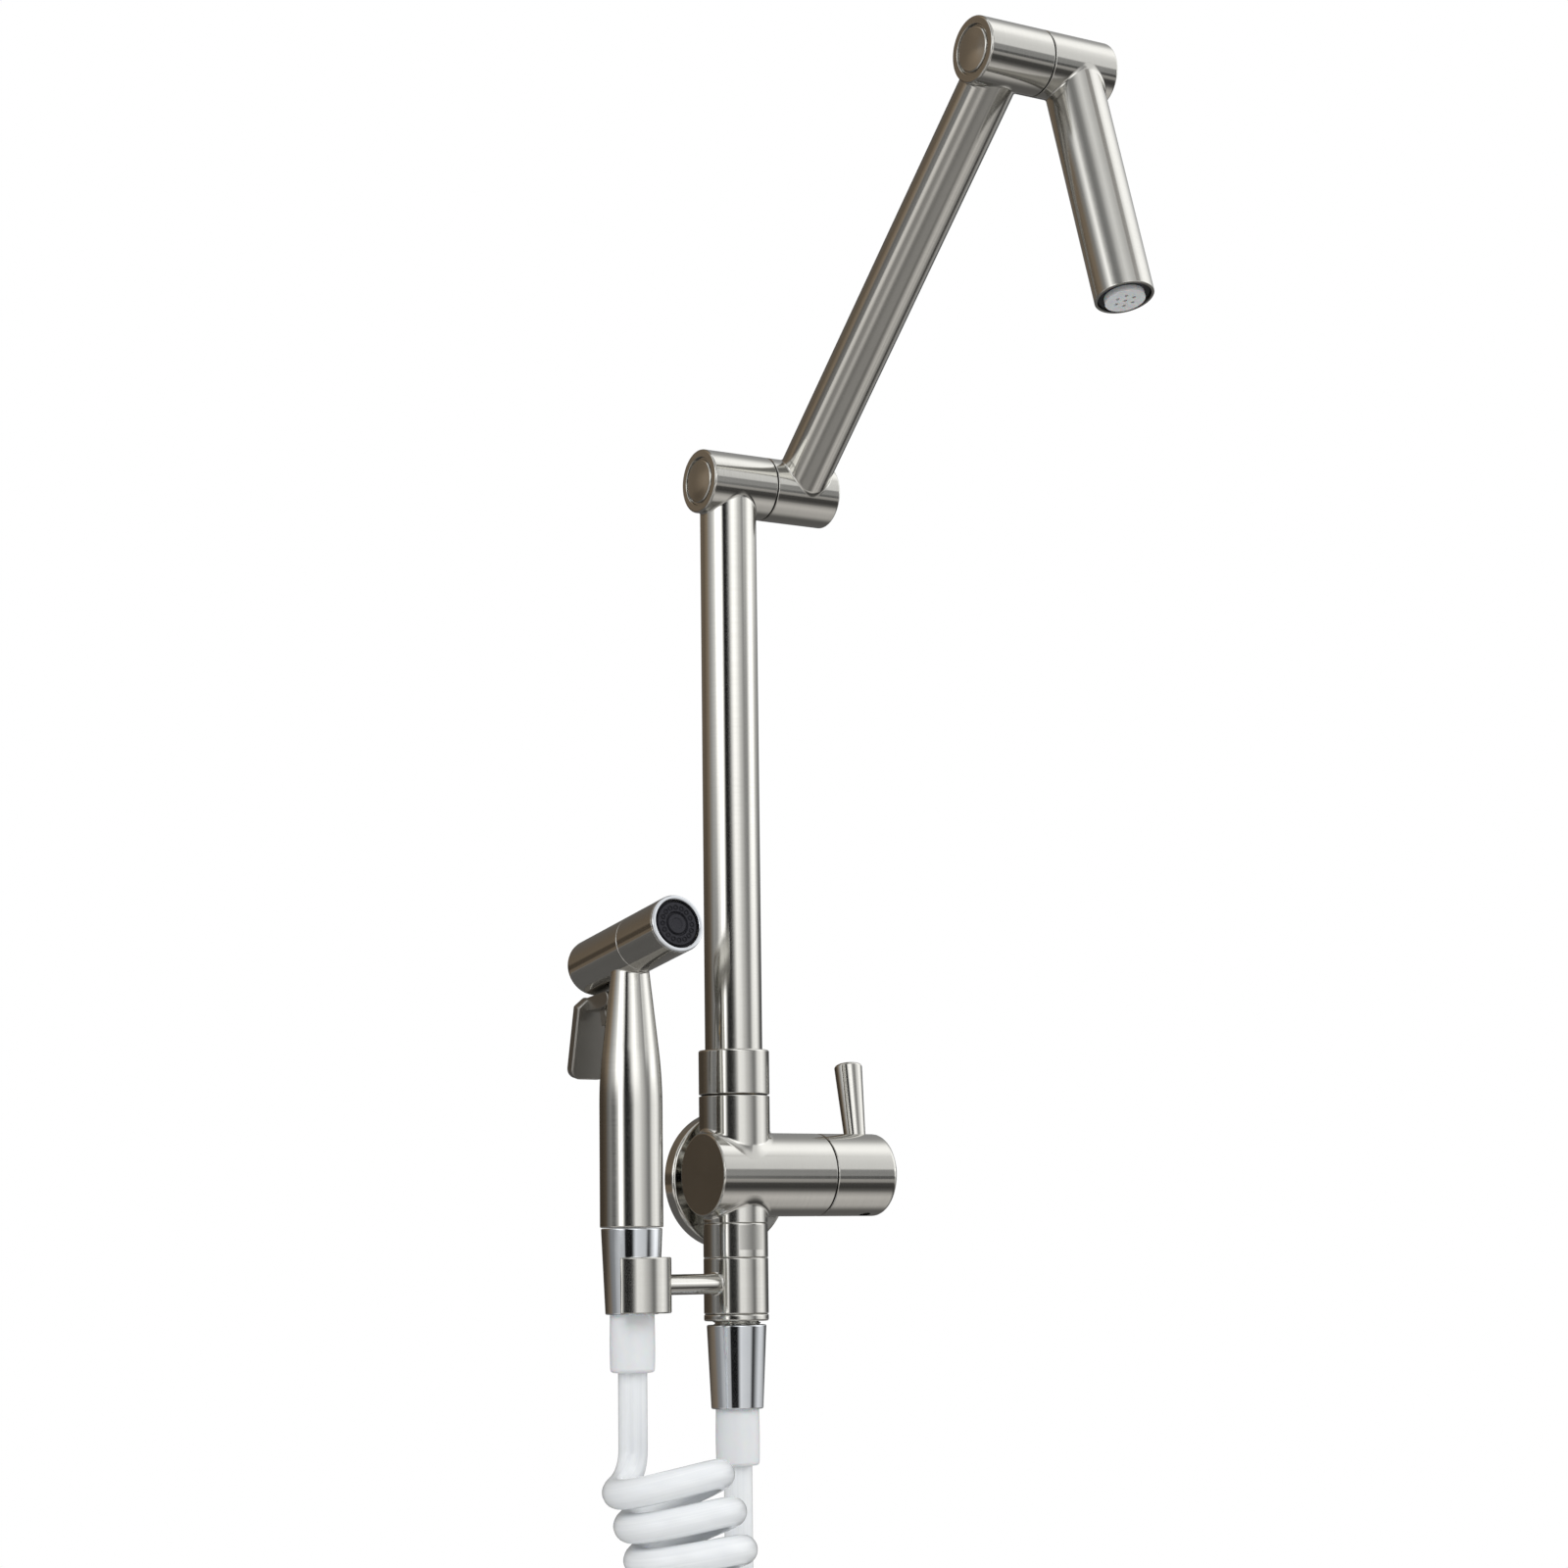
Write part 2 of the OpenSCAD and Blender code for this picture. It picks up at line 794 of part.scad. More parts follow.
module wrist_circlip() {
    on_spout() circlip();
}

// SPOUT AND AERATOR

aerator_h = 12;
aerator_recess = 1;
aerator_wall = 1.6;
aerator_lip = 1.2;
insert_out = 1.5;
jet_d = 1.6;
jet_ring = 4;

module spout_tube() {
    color(nickel)
    on_spout() translate([seam_to_tube, 0, 0])
        ring(spout_d, spout_d - 2 * tube_wall, socket_floor, spout_len);
}

module aerator_housing() {
    outer = spout_d - 2 * tube_wall - 2 * fit;
    inner = outer - 2 * aerator_wall;
    z0 = spout_len - aerator_recess - aerator_h;
    color(steel)
    on_spout() translate([seam_to_tube, 0, 0])
    difference() {
        bar(outer, z0, z0 + aerator_h);
        translate([0, 0, z0 - cut]) cylinder(d = inner, h = aerator_h - aerator_lip + cut);
        translate([0, 0, z0]) cylinder(d = inner - 2 * aerator_lip, h = aerator_h + cut);
    }
}

module aerator_insert() {
    outer = spout_d - 2 * tube_wall - 2 * aerator_wall - 4 * fit;
    z0 = spout_len - aerator_recess - aerator_h;
    color(white)
    on_spout() translate([seam_to_tube, 0, 0])
    difference() {
        union() {
            translate([0, 0, z0]) cylinder(d = outer, h = aerator_h - aerator_lip - fit);
            translate([0, 0, z0])
                cylinder(d = outer - 2 * aerator_lip - 2 * fit, h = aerator_h + aerator_recess + insert_out);
        }
        for (turn = [0:60:300])
            rotate([0, 0, turn])
                translate([jet_ring, 0, z0 - cut]) cylinder(d = jet_d, h = 2 * aerator_h, $fn = 16);
        translate([0, 0, z0 - cut]) cylinder(d = jet_d, h = 2 * aerator_h, $fn = 16);
    }
}

// OUTLET, HOLDER AND HOSE FITTINGS

adaptor_z = -lower_neck_h - gap;
adaptor_foot = adaptor_z - adaptor_h;
sleeve_z = adaptor_foot - gap;
sleeve_foot = sleeve_z - sleeve_h;
lock_ring_z = sleeve_foot - fit;
lock_ring_foot = lock_ring_z - lock_ring_h;
thread_shows = 1.6;
outlet_nut_z = lock_ring_foot - thread_shows;
ring_edge = 0.4;
flat_drop = 1;
flat_h = 10.5;

// Depths inside a hose nut, from its top
nut_seat = 13;
nut_washer_t = 2;
collar_t = 2.2;
ferrule_collar_d = 20.2;
ferrule_bore = 8;
ferrule_round = 1.8;
adaptor_bore = 11;
check_len = 14;
check_wall = 2;
check_port = 2.5;

module outlet_adaptor() {
    color(nickel)
    translate(riser_axis)
    difference() {
        union() {
            bar(stack_d, adaptor_foot, adaptor_z);
            translate([0, 0, adaptor_z - cut]) cylinder(d = adaptor_shank_d, h = adaptor_shank + cut);
            translate([0, 0, outlet_nut_z - nut_seat])
                cylinder(d = thread_d, h = nut_seat + adaptor_foot - outlet_nut_z + cut);
        }
        translate([0, 0, outlet_nut_z - nut_seat - cut])
            cylinder(d = adaptor_bore, h = 2 * nut_len + adaptor_h + sleeve_h);
        for (side = [-1, 1])
            translate([-stack_d, side * (adaptor_flats / 2 + stack_d / 2) - stack_d / 2,
                adaptor_z - flat_drop - flat_h])
                cube([2 * stack_d, stack_d, flat_h]);
    }
}

// A small non-return valve in the adaptor keeps used water out of the supply
module check_valve() {
    color(nylon)
    translate(riser_axis + [0, 0, adaptor_foot - check_len])
    difference() {
        bar(adaptor_bore - 2 * fit, 0, check_len);
        for (z = [-cut, 2 * check_len / 3])
            translate([0, 0, z]) cylinder(d = adaptor_bore - 2 * check_wall, h = check_len / 3 + cut);
        cylinder(d = check_port, h = check_len);
    }
}

module holder_sleeve() {
    color(nickel)
    translate(riser_axis)
    difference() {
        bar(stack_d, sleeve_foot, sleeve_z, ring_edge);
        translate([0, 0, sleeve_foot - cut]) cylinder(d = thread_d + 2 * fit, h = sleeve_h + 2 * cut);
        translate([0, 0, pin_z]) rotate([0, 90, 180 + holder_turn])
            cylinder(d = pin_end_d + 2 * fit, h = stack_d);
    }
}

module holder_lock_ring() {
    color(nickel)
    translate(riser_axis)
    difference() {
        bar(stack_d, lock_ring_foot, lock_ring_z, ring_edge);
        translate([0, 0, lock_ring_foot - cut])
            cylinder(d = thread_d + 2 * fit, h = lock_ring_h + 2 * cut);
    }
}

// The clip ring's bore is conical, because the hand spray's hose nut drops into it like a cork
spray_nut_z = spray_foot - gap;
pin_rise = 1;
pin_z = sleeve_foot + sleeve_h / 2 + pin_rise;
pin_end_d = pin_d - 2;
pin_sunk = 2.5;
clip_z0 = pin_z - clip_h / 2;
clip_z1 = pin_z + clip_h / 2;

function nut_radius(z) =
    nut_top_d / 2 - (nut_top_d - nut_foot_d) / 2 * (spray_nut_z - z) / nut_len;

clip_outer = nut_radius(clip_z1) + gap + clip_wall;

module holder_clip() {
    color(nickel)
    translate(spray_axis)
    difference() {
        bar(2 * clip_outer, clip_z0, clip_z1, ring_edge);
        translate([0, 0, clip_z0 - cut])
            cylinder(r1 = nut_radius(clip_z0 - cut) + gap, r2 = nut_radius(clip_z1 + cut) + gap,
                h = clip_h + 2 * cut);
        // The opening between the two jaws
        rotate([0, 0, 180 - clip_open_at])
            translate([0, 0, clip_z0 - cut])
            linear_extrude(clip_h + 2 * cut)
                polygon(concat([[0, 0]], arc(0, 0, 2 * clip_outer, -clip_open / 2, clip_open / 2, 4)));
        rotate([0, 0, holder_turn])
            translate([0, 0, pin_z]) along_x() cylinder(d = pin_end_d + 2 * fit, h = clip_outer + cut);
    }
}

// The pin's turned-down ends are brazed into the sleeve and into the clip ring
module holder_pin() {
    inner = stack_d / 2 - pin_sunk;
    outer = holder_reach - clip_outer + pin_sunk;
    color(nickel)
    translate(riser_axis + [0, 0, pin_z])
    rotate([0, 0, 180 + holder_turn]) {
        difference() {
            translate([inner, 0, 0]) along_x() cylinder(d = pin_d, h = outer - inner);
            cylinder(d = stack_d + 2 * fit, h = 2 * pin_d, center = true);
            translate([holder_reach, 0, 0])
                cylinder(r = clip_outer + fit, h = 2 * pin_d, center = true);
        }
        translate([inner, 0, 0]) along_x() cylinder(d = pin_end_d, h = outer - inner);
    }
}

// The two ends of the hose are alike: a conical nut, a washer and a white ferrule.
// Each is built with the nut's top face at Z = 0.
module hose_nut() {
    color(chrome)
    difference() {
        turned([
            [0, -nut_len], [nut_foot_d / 2 - edge, -nut_len], [nut_foot_d / 2, -nut_len + edge],
            [nut_top_d / 2, -edge], [nut_top_d / 2 - edge, 0], [0, 0]
        ]);
        translate([0, 0, -nut_seat - nut_washer_t - collar_t - gap])
            cylinder(d = thread_d + 2 * fit, h = nut_len);
        translate([0, 0, -nut_len - cut]) cylinder(d = ferrule_d + 2 * fit, h = nut_len);
    }
}

module hose_washer() {
    color(black)
    translate([0, 0, -nut_seat - nut_washer_t])
        ring(ferrule_collar_d, ferrule_bore, 0, nut_washer_t);
}

module hose_ferrule() {
    top = -nut_seat - nut_washer_t;
    foot = -nut_len - ferrule_drop;
    color(white)
    difference() {
        turned(concat(
            [[0, foot]],
            arc(ferrule_d / 2 - ferrule_round, foot + ferrule_round, ferrule_round, -90, 0),
            [[ferrule_d / 2, top - collar_t], [ferrule_collar_d / 2, top - collar_t],
                [ferrule_collar_d / 2, top], [0, top]]
        ));
        translate([0, 0, foot + hose_d]) cylinder(d = ferrule_bore, h = nut_len + ferrule_drop);
    }
}

module at_outlet_nut() {
    translate(riser_axis + [0, 0, outlet_nut_z]) children();
}

module at_spray_nut() {
    translate(spray_axis + [0, 0, spray_nut_z]) children();
}

module outlet_hose_nut() {
    at_outlet_nut() hose_nut();
}

module outlet_hose_washer() {
    at_outlet_nut() hose_washer();
}

module outlet_hose_ferrule() {
    at_outlet_nut() hose_ferrule();
}

module spray_hose_nut() {
    at_spray_nut() hose_nut();
}

module spray_hose_washer() {
    at_spray_nut() hose_washer();
}

module spray_hose_ferrule() {
    at_spray_nut() hose_ferrule();
}

// HAND SPRAY

grip_top = spray_foot + grip_len;
taper_top = grip_top + taper_len;
head_rise = 10.1;
head_z = taper_top + head_rise;
spray_bore = 9;
spigot_top_d = 12;
spigot_root = 6;
pivot_y = 14.5;
pivot_drop = 10.4;
pivot_z = taper_top - pivot_drop;
pivot_pin_d = 2.5;
lug_w = 4;
lug_r = 3.2;
// The plunger's distances are taken along Y from the handle's axis, towards the trigger
plunger_drop = 9;
plunger_z = pivot_z - plunger_drop;
plunger_room_d = 10;
plunger_room_y = -7.5;
plunger_head_t = 2.5;
plunger_dome = 0.8;
rod_d = 4.8;
spring_room = 6.1;
gland_y = 3.8;
gland_out = 0.8;

function grip_radius(z) =
    grip_d / 2 - (grip_d - grip_top_d) / 2 * max(0, z - grip_top) / taper_len;

gland_end = grip_radius(plunger_z) + gland_out;

// The head's own frame: +Z runs towards the spray face
module on_head() {
    translate(spray_axis + [0, 0, head_z]) rotate([90 - head_tilt, 0, 0]) children();
}

module spray_handle() {
    color(nickel)
    difference() {
        union() {
            translate(spray_axis)
            difference() {
                turned([
                    [0, spray_foot], [grip_d / 2 - edge, spray_foot], [grip_d / 2, spray_foot + edge],
                    [grip_d / 2, grip_top], [grip_top_d / 2, taper_top], [grip_top_d / 2, head_z],
                    [0, head_z]
                ]);
                translate([0, 0, head_z]) rotate([90 - head_tilt, 0, 0])
                    cylinder(d = head_d + 2 * fit, h = 4 * grip_d, center = true);
            }
            // Lug that carries the trigger
            translate(spray_axis + [-lug_w / 2, 0, 0]) {
                translate([0, pivot_y, pivot_z]) along_x() cylinder(r = lug_r, h = lug_w);
                translate([0, 0, pivot_z - lug_r]) cube([lug_w, pivot_y, 2 * lug_r]);
            }
            // Thread in the hose nut, and the spigot in the spray core
            translate(spray_axis + [0, 0, spray_nut_z - nut_seat])
                cylinder(d = thread_d, h = spray_foot - spray_nut_z + nut_seat + cut);
            translate(spray_axis + [0, 0, taper_top - spigot_root])
                cylinder(d = spigot_top_d, h = head_rise + spigot_root);
        }
        translate(spray_axis + [0, 0, spray_nut_z - nut_seat - cut])
            cylinder(d = spray_bore, h = plunger_z - spray_nut_z + nut_seat + cut);
        translate(spray_axis + [0, 0, plunger_z]) cylinder(d = spray_bore / 2, h = head_z);
        translate(spray_axis + [0, plunger_room_y, plunger_z])
            wallwards() cylinder(d = plunger_room_d, h = grip_d);
        translate(spray_axis + [-lug_w, pivot_y, pivot_z])
            along_x() cylinder(d = pivot_pin_d + 2 * fit, h = 2 * lug_w);
    }
}

module plunger_gland() {
    color(brass)
    translate(spray_axis + [0, gland_y, plunger_z])
        wallwards() ring(plunger_room_d - 2 * fit, rod_d + 2 * fit, 0, gland_end - gland_y);
}

module trigger_pin() {
    color(steel)
    translate(spray_axis + [-fork_w / 2 + gap, pivot_y, pivot_z])
        along_x() cylinder(d = pivot_pin_d, h = fork_w - 2 * gap);
}

// The rear shell sits on the handle, and the front shell meets it in front of the handle
shell_seam = 9.5;
rear_round = 5;
ring_t = 1.5;
ring_wall = 1.85;
plate_t = 2.5;
ring_edge_w = 0.6;
plate_recess = 0.5;
core_rear = -9;
core_room = 4;
core_rim = 2;
nub_d = 1.3;
nub_rise = 0.45;
nozzle_bore = 0.6;
nozzle_inset = 3.3;
plate_ring_d = 10.4;
plate_ring_w = 0.8;
plate_ring_rise = 0.35;
plate_dish_d = 6;
plate_dish = 0.5;

module head_shells() {
    difference() {
        turned(concat(
            [[0, -head_rear]],
            arc(head_d / 2 - rear_round, -head_rear + rear_round, rear_round, -90, 0, 8),
            [[head_d / 2, head_front - ring_t], [0, head_front - ring_t]]
        ));
        translate([0, 0, -head_rear + 2 * shell_wall])
            cylinder(d1 = head_d - 2 * rear_round, d2 = head_d - 2 * shell_wall, h = rear_round);
        translate([0, 0, -head_rear + 2 * shell_wall + rear_round])
            cylinder(d = head_d - 2 * shell_wall, h = head_rear + head_front);
        rotate([head_tilt - 90, 0, 0])
            translate([0, 0, -head_d]) cylinder(d = spigot_top_d + 2 * fit, h = head_d);
    }
}

module head_front_shell() {
    color(nickel)
    on_head()
    intersection() {
        head_shells();
        translate([0, 0, shell_seam + fit]) cylinder(d = 2 * head_d, h = head_front + head_rear);
    }
}

module head_rear_shell() {
    color(nickel)
    on_head()
    intersection() {
        head_shells();
        translate([0, 0, shell_seam - fit - head_rear - head_front])
            cylinder(d = 2 * head_d, h = head_front + head_rear);
    }
}

// The core carries both shells, takes the handle's spigot and leads the water to the plate
module spray_core() {
    core_d = head_d - 2 * shell_wall - 2 * fit;
    core_front = head_front - plate_recess - plate_t;
    color(nylon)
    on_head()
    difference() {
        bar(core_d, core_rear, core_front);
        cylinder(d = spray_bore, h = head_front);
        translate([0, 0, core_front - core_room]) cylinder(d = core_d - 2 * core_rim, h = core_room + cut);
        rotate([head_tilt - 90, 0, 0])
            translate([0, 0, -head_d]) cylinder(d = spigot_top_d + 2 * fit, h = head_d + fit);
    }
}

module nozzle_plate() {
    plate_d = head_d - 2 * ring_wall - 2 * fit;
    z0 = head_front - plate_recess - plate_t;
    nozzle_ring = plate_d / 2 - nozzle_inset;
    color(black)
    on_head()
    difference() {
        union() {
            translate([0, 0, z0]) cylinder(d = plate_d, h = plate_t);
            for (i = [0:nozzles - 1])
                rotate([0, 0, 360 * i / nozzles])
                    translate([nozzle_ring, 0, z0]) cylinder(d = nub_d, h = plate_t + nub_rise, $fn = 16);
            ring(plate_ring_d, plate_ring_d - 2 * plate_ring_w, z0, z0 + plate_t + plate_ring_rise);
        }
        for (i = [0:nozzles - 1])
            rotate([0, 0, 360 * i / nozzles])
                translate([nozzle_ring, 0, z0 - cut])
                    cylinder(d = nozzle_bore, h = plate_t + 2 * cut, $fn = 16);
        translate([0, 0, head_front - plate_recess - plate_dish])
            cylinder(d = plate_dish_d, h = cut);
    }
}

module face_ring() {
    color(chrome)
    on_head()
    difference() {
        turned([
            [0, head_front - ring_t + fit], [head_d / 2, head_front - ring_t + fit],
            [head_d / 2, head_front - ring_edge_w], [head_d / 2 - ring_edge_w, head_front], [0, head_front]
        ]);
        translate([0, 0, head_front - 2 * ring_t]) cylinder(d = head_d - 2 * ring_wall, h = 3 * ring_t);
    }
}

// The trigger hangs on its pin behind the handle. Squeezed towards the handle, its nose pushes the plunger.
// The blade's places are those of its back face, along Y and Z from the handle's axis.
blade_top = [pivot_y + 18, pivot_z + 2];
blade_lean = 12.5;
blade_len = 35;
blade_corner = 3.9;
foot_round = 4.5;
blade_dir = [sin(blade_lean), -cos(blade_lean)];
blade_in = [blade_dir[1], -blade_dir[0]];
hub_r = lug_r + 0.2;
arm_depth = 6;
arm_under = [3.5, -4];
nose_y = 17;
nose_h = 4;
nose_root = 5;

module trigger() {
    arm_top = blade_top + blade_in * trigger_t / 2;
    arm_foot = [pivot_y, pivot_z] + arm_under;
    color(nickel)
    translate(spray_axis)
    difference() {
        union() {
            // Flat blade with two cut corners at its top and a rounded foot
            translate([0, blade_top[0], blade_top[1]])
            rotate([90 + blade_lean, 0, 0])
            linear_extrude(trigger_t)
                polygon(concat(
                    [[-trigger_w / 2, -blade_corner], [-fork_w / 2, 0], [fork_w / 2, 0],
                        [trigger_w / 2, -blade_corner]],
                    arc(trigger_w / 2 - foot_round, foot_round - blade_len, foot_round, 0, -90),
                    arc(foot_round - trigger_w / 2, foot_round - blade_len, foot_round, -90, -180)
                ));
            // Fork
            translate([-fork_w / 2, 0, 0])
            rotate([90, 0, 90])
            linear_extrude(fork_w)
                polygon(concat(
                    arc(pivot_y, pivot_z, hub_r, 230, 90),
                    [arm_top, arm_top + blade_dir * arm_depth, arm_foot]
                ));
            // Nose
            translate([-lug_w / 2, 0, 0])
            rotate([90, 0, 90])
            linear_extrude(lug_w)
                polygon([
                    [nose_y, plunger_z - nose_h / 2], [nose_y, plunger_z + nose_h / 2],
                    arm_foot + [0, cut], arm_foot + [nose_root, cut],
                    [nose_y + nose_h, plunger_z - nose_h / 2]
                ]);
        }
        // Slot round the lug, and the pin's hole
        translate([-lug_w / 2 - gap, pivot_y - 2 * lug_r, pivot_z - 2 * lug_r])
            cube([lug_w + 2 * gap, 3 * lug_r + gap, 4 * lug_r]);
        translate([-fork_w, pivot_y, pivot_z])
            along_x() cylinder(d = pivot_pin_d + 2 * fit, h = 2 * fork_w);
    }
}

// The plunger's head shuts the water off, and its rod ends in a dome under the trigger's nose
module plunger() {
    head_y = plunger_room_y + spring_room + gap;
    tip_y = nose_y - gap;
    color(brass)
    translate(spray_axis + [0, 0, plunger_z])
    wallwards()
        turned(concat(
            [[0, head_y], [plunger_room_d / 2 - gap, head_y],
                [plunger_room_d / 2 - gap, head_y + plunger_head_t], [rod_d / 2, head_y + plunger_head_t]],
            dome(rod_d / 2, plunger_dome, tip_y - plunger_dome)
        ));
}

// WOUND PIECES

// A tube of the given number of sides swept along a path, with its ends closed
function unit(v) = v / norm(v);

function tangent(path, i) =
    i == 0 ? unit(path[1] - path[0])
    : i == len(path) - 1 ? unit(path[i] - path[i - 1])
    : unit(unit(path[i + 1] - path[i]) + unit(path[i] - path[i - 1]));

function across(side, along) = unit(side - (side * along) * along);

// The side direction is carried from ring to ring, so that the tube doesn't twist
function sides_along(path, first) = [
    for (i = 0, side = across(first, tangent(path, 0)); i < len(path);
        i = i + 1, side = i < len(path) ? across(side, tangent(path, i)) : side) side
];

module swept_tube(path, d, sides, first) {
    side_list = sides_along(path, first);
    points = [
        for (i = [0:len(path) - 1], k = [0:sides - 1])
            path[i] + d / 2 * (cos(360 * k / sides) * side_list[i]
                + sin(360 * k / sides) * cross(tangent(path, i), side_list[i]))
    ];
    last = (len(path) - 1) * sides;
    walls = [
        for (i = [0:len(path) - 2], k = [0:sides - 1], half = [0, 1])
            let (a = i * sides + k, b = i * sides + (k + 1) % sides)
            half == 0 ? [a, a + sides, b] : [b, a + sides, b + sides]
    ];
    start_cap = [for (k = [1:sides - 2]) [0, k, k + 1]];
    end_cap = [for (k = [1:sides - 2]) [last, last + k + 1, last + k]];
    polyhedron(points, concat(walls, start_cap, end_cap));
}

// The least distance between points of a path that lie more than skip steps apart
function least_gap(path, skip) = min([
    for (i = [0:len(path) - 1 - skip], j = [i + skip:len(path) - 1]) norm(path[i] - path[j])
]);

// The hose leaves the hand spray's ferrule, winds down in curls and comes up to the outlet's ferrule.
// The curls' axis leans to the right at the top and hangs straight at the bottom.
curl_r = 21.1;
curl_pitch = 15;
curls = 9.593;
rings_per_curl = 8;
hose_sides = 6;
coil_top = [-75.6, -73.7, -122.3];
coil_way = -33;
coil_start = 160;
coil_tilt = 19.7;
coil_len = curls * curl_pitch;
lead_bend = 15;
tail_bend = 49;
tail_reach = 46;
// Handle length of a Bezier curve that follows a quarter circle of radius 1
quarter = 0.552;

function bezier(a, b, c, d, t) =
    pow(1 - t, 3) * a + 3 * pow(1 - t, 2) * t * b + 3 * (1 - t) * t * t * c + pow(t, 3) * d;

// Right and back as the coil's own directions, seen along its lean
coil_right = [cos(coil_way), sin(coil_way), 0];
coil_back = [-sin(coil_way), cos(coil_way), 0];

function coil_centre(u) =
    let (tilt = coil_tilt * (1 - u), arc = coil_len * 180 / (PI * coil_tilt))
    coil_top + arc * (cos(tilt) - cos(coil_tilt)) * coil_right
        - arc * (sin(coil_tilt) - sin(tilt)) * [0, 0, 1];

function coil_point(u) =
    let (tilt = coil_tilt * (1 - u), turn = coil_start + 360 * curls * u)
    coil_centre(u) + curl_r * cos(turn) * (cos(tilt) * coil_right + sin(tilt) * [0, 0, 1])
        + curl_r * sin(turn) * coil_back;

coil_rings = round(curls * rings_per_curl);
coil_in = unit(coil_point(0.001) - coil_point(0));
coil_out = unit(coil_point(1) - coil_point(0.999));

spray_exit = spray_axis + [0, 0, spray_nut_z - nut_len - ferrule_drop];
outlet_exit = riser_axis + [0, 0, outlet_nut_z - nut_len - ferrule_drop];
lead_foot = [spray_exit[0], spray_exit[1], coil_point(0)[2] + lead_bend];
tail_foot = [outlet_exit[0], outlet_exit[1], coil_point(1)[2] + tail_bend];
lead_steps = 4;
bend_steps = 8;
tail_steps = 4;

hose_path = concat(
    [spray_exit, spray_exit - [0, 0, hose_d]],
    [for (i = [0:lead_steps - 1])
        bezier(lead_foot, lead_foot - [0, 0, quarter * lead_bend],
            coil_point(0) - quarter * lead_bend * coil_in, coil_point(0), i / lead_steps)],
    [for (i = [0:coil_rings]) coil_point(i / coil_rings)],
    [for (i = [1:bend_steps])
        bezier(coil_point(1), coil_point(1) + tail_reach * coil_out,
            tail_foot - [0, 0, quarter * tail_bend], tail_foot, i / bend_steps)],
    [for (i = [1:tail_steps]) tail_foot + (outlet_exit - [0, 0, hose_d] - tail_foot) * i / tail_steps],
    [outlet_exit]
);

hose_len = [for (i = [1:len(hose_path) - 1]) norm(hose_path[i] - hose_path[i - 1])];
echo(hose_length = hose_len * [for (i = hose_len) 1]);
echo(hose_gap = least_gap(hose_path, 6) - hose_d);

module spray_hose() {
    color(white) swept_tube(hose_path, hose_d, hose_sides, [1, 0, 0]);
}

// The plunger's spring is a wire helix with its ends run out flat
spring_r = 3.4;
spring_wire = 0.7;
spring_curls = 3;
spring_rings = round(spring_curls * rings_per_curl);

spring_path = [for (i = [0:spring_rings])
    let (turn = 360 * spring_curls * i / spring_rings)
    [spring_r * cos(turn), spring_r * sin(turn), (spring_room - spring_wire - 2 * fit) * i / spring_rings]
];
echo(spring_gap = least_gap(spring_path, 6) - spring_wire);

module plunger_spring() {
    color(steel)
    translate(spray_axis + [0, plunger_room_y + spring_wire / 2 + fit, plunger_z])
        wallwards() swept_tube(spring_path, spring_wire, hose_sides, [1, 0, 0]);
}

wall_flange();
inlet_nipple();
valve_body();
cartridge_seal();
fixed_ceramic_disc();
cartridge_housing();
cartridge_nut();
riser_spigot();
riser_orings();
riser_slip_washer();
outlet_adaptor();
check_valve();
holder_sleeve();
holder_lock_ring();
holder_pin();
holder_clip();
outlet_hose_nut();
outlet_hose_washer();
outlet_hose_ferrule();
spray_hose();
handle_cap();
handle_lever();
handle_grub_screw();
cartridge_stem();
moving_ceramic_disc();
riser_collar();
collar_grub_screw();
riser_tube();
elbow_riser_housing();
elbow_end_cap();
elbow_slip_washer();
elbow_arm_housing();
elbow_spindle();
elbow_orings();
elbow_circlip();
arm_tube();
wrist_arm_housing();
wrist_end_cap();
wrist_slip_washer();
wrist_spout_housing();
wrist_spindle();
wrist_orings();
wrist_circlip();
spout_tube();
aerator_housing();
aerator_insert();
spray_handle();
head_front_shell();
head_rear_shell();
spray_core();
nozzle_plate();
face_ring();
plunger_gland();
trigger_pin();
spray_hose_nut();
spray_hose_washer();
spray_hose_ferrule();
trigger();
plunger();
plunger_spring();
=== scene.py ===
import math

import bpy
import numpy as np
from mathutils import Matrix, Vector


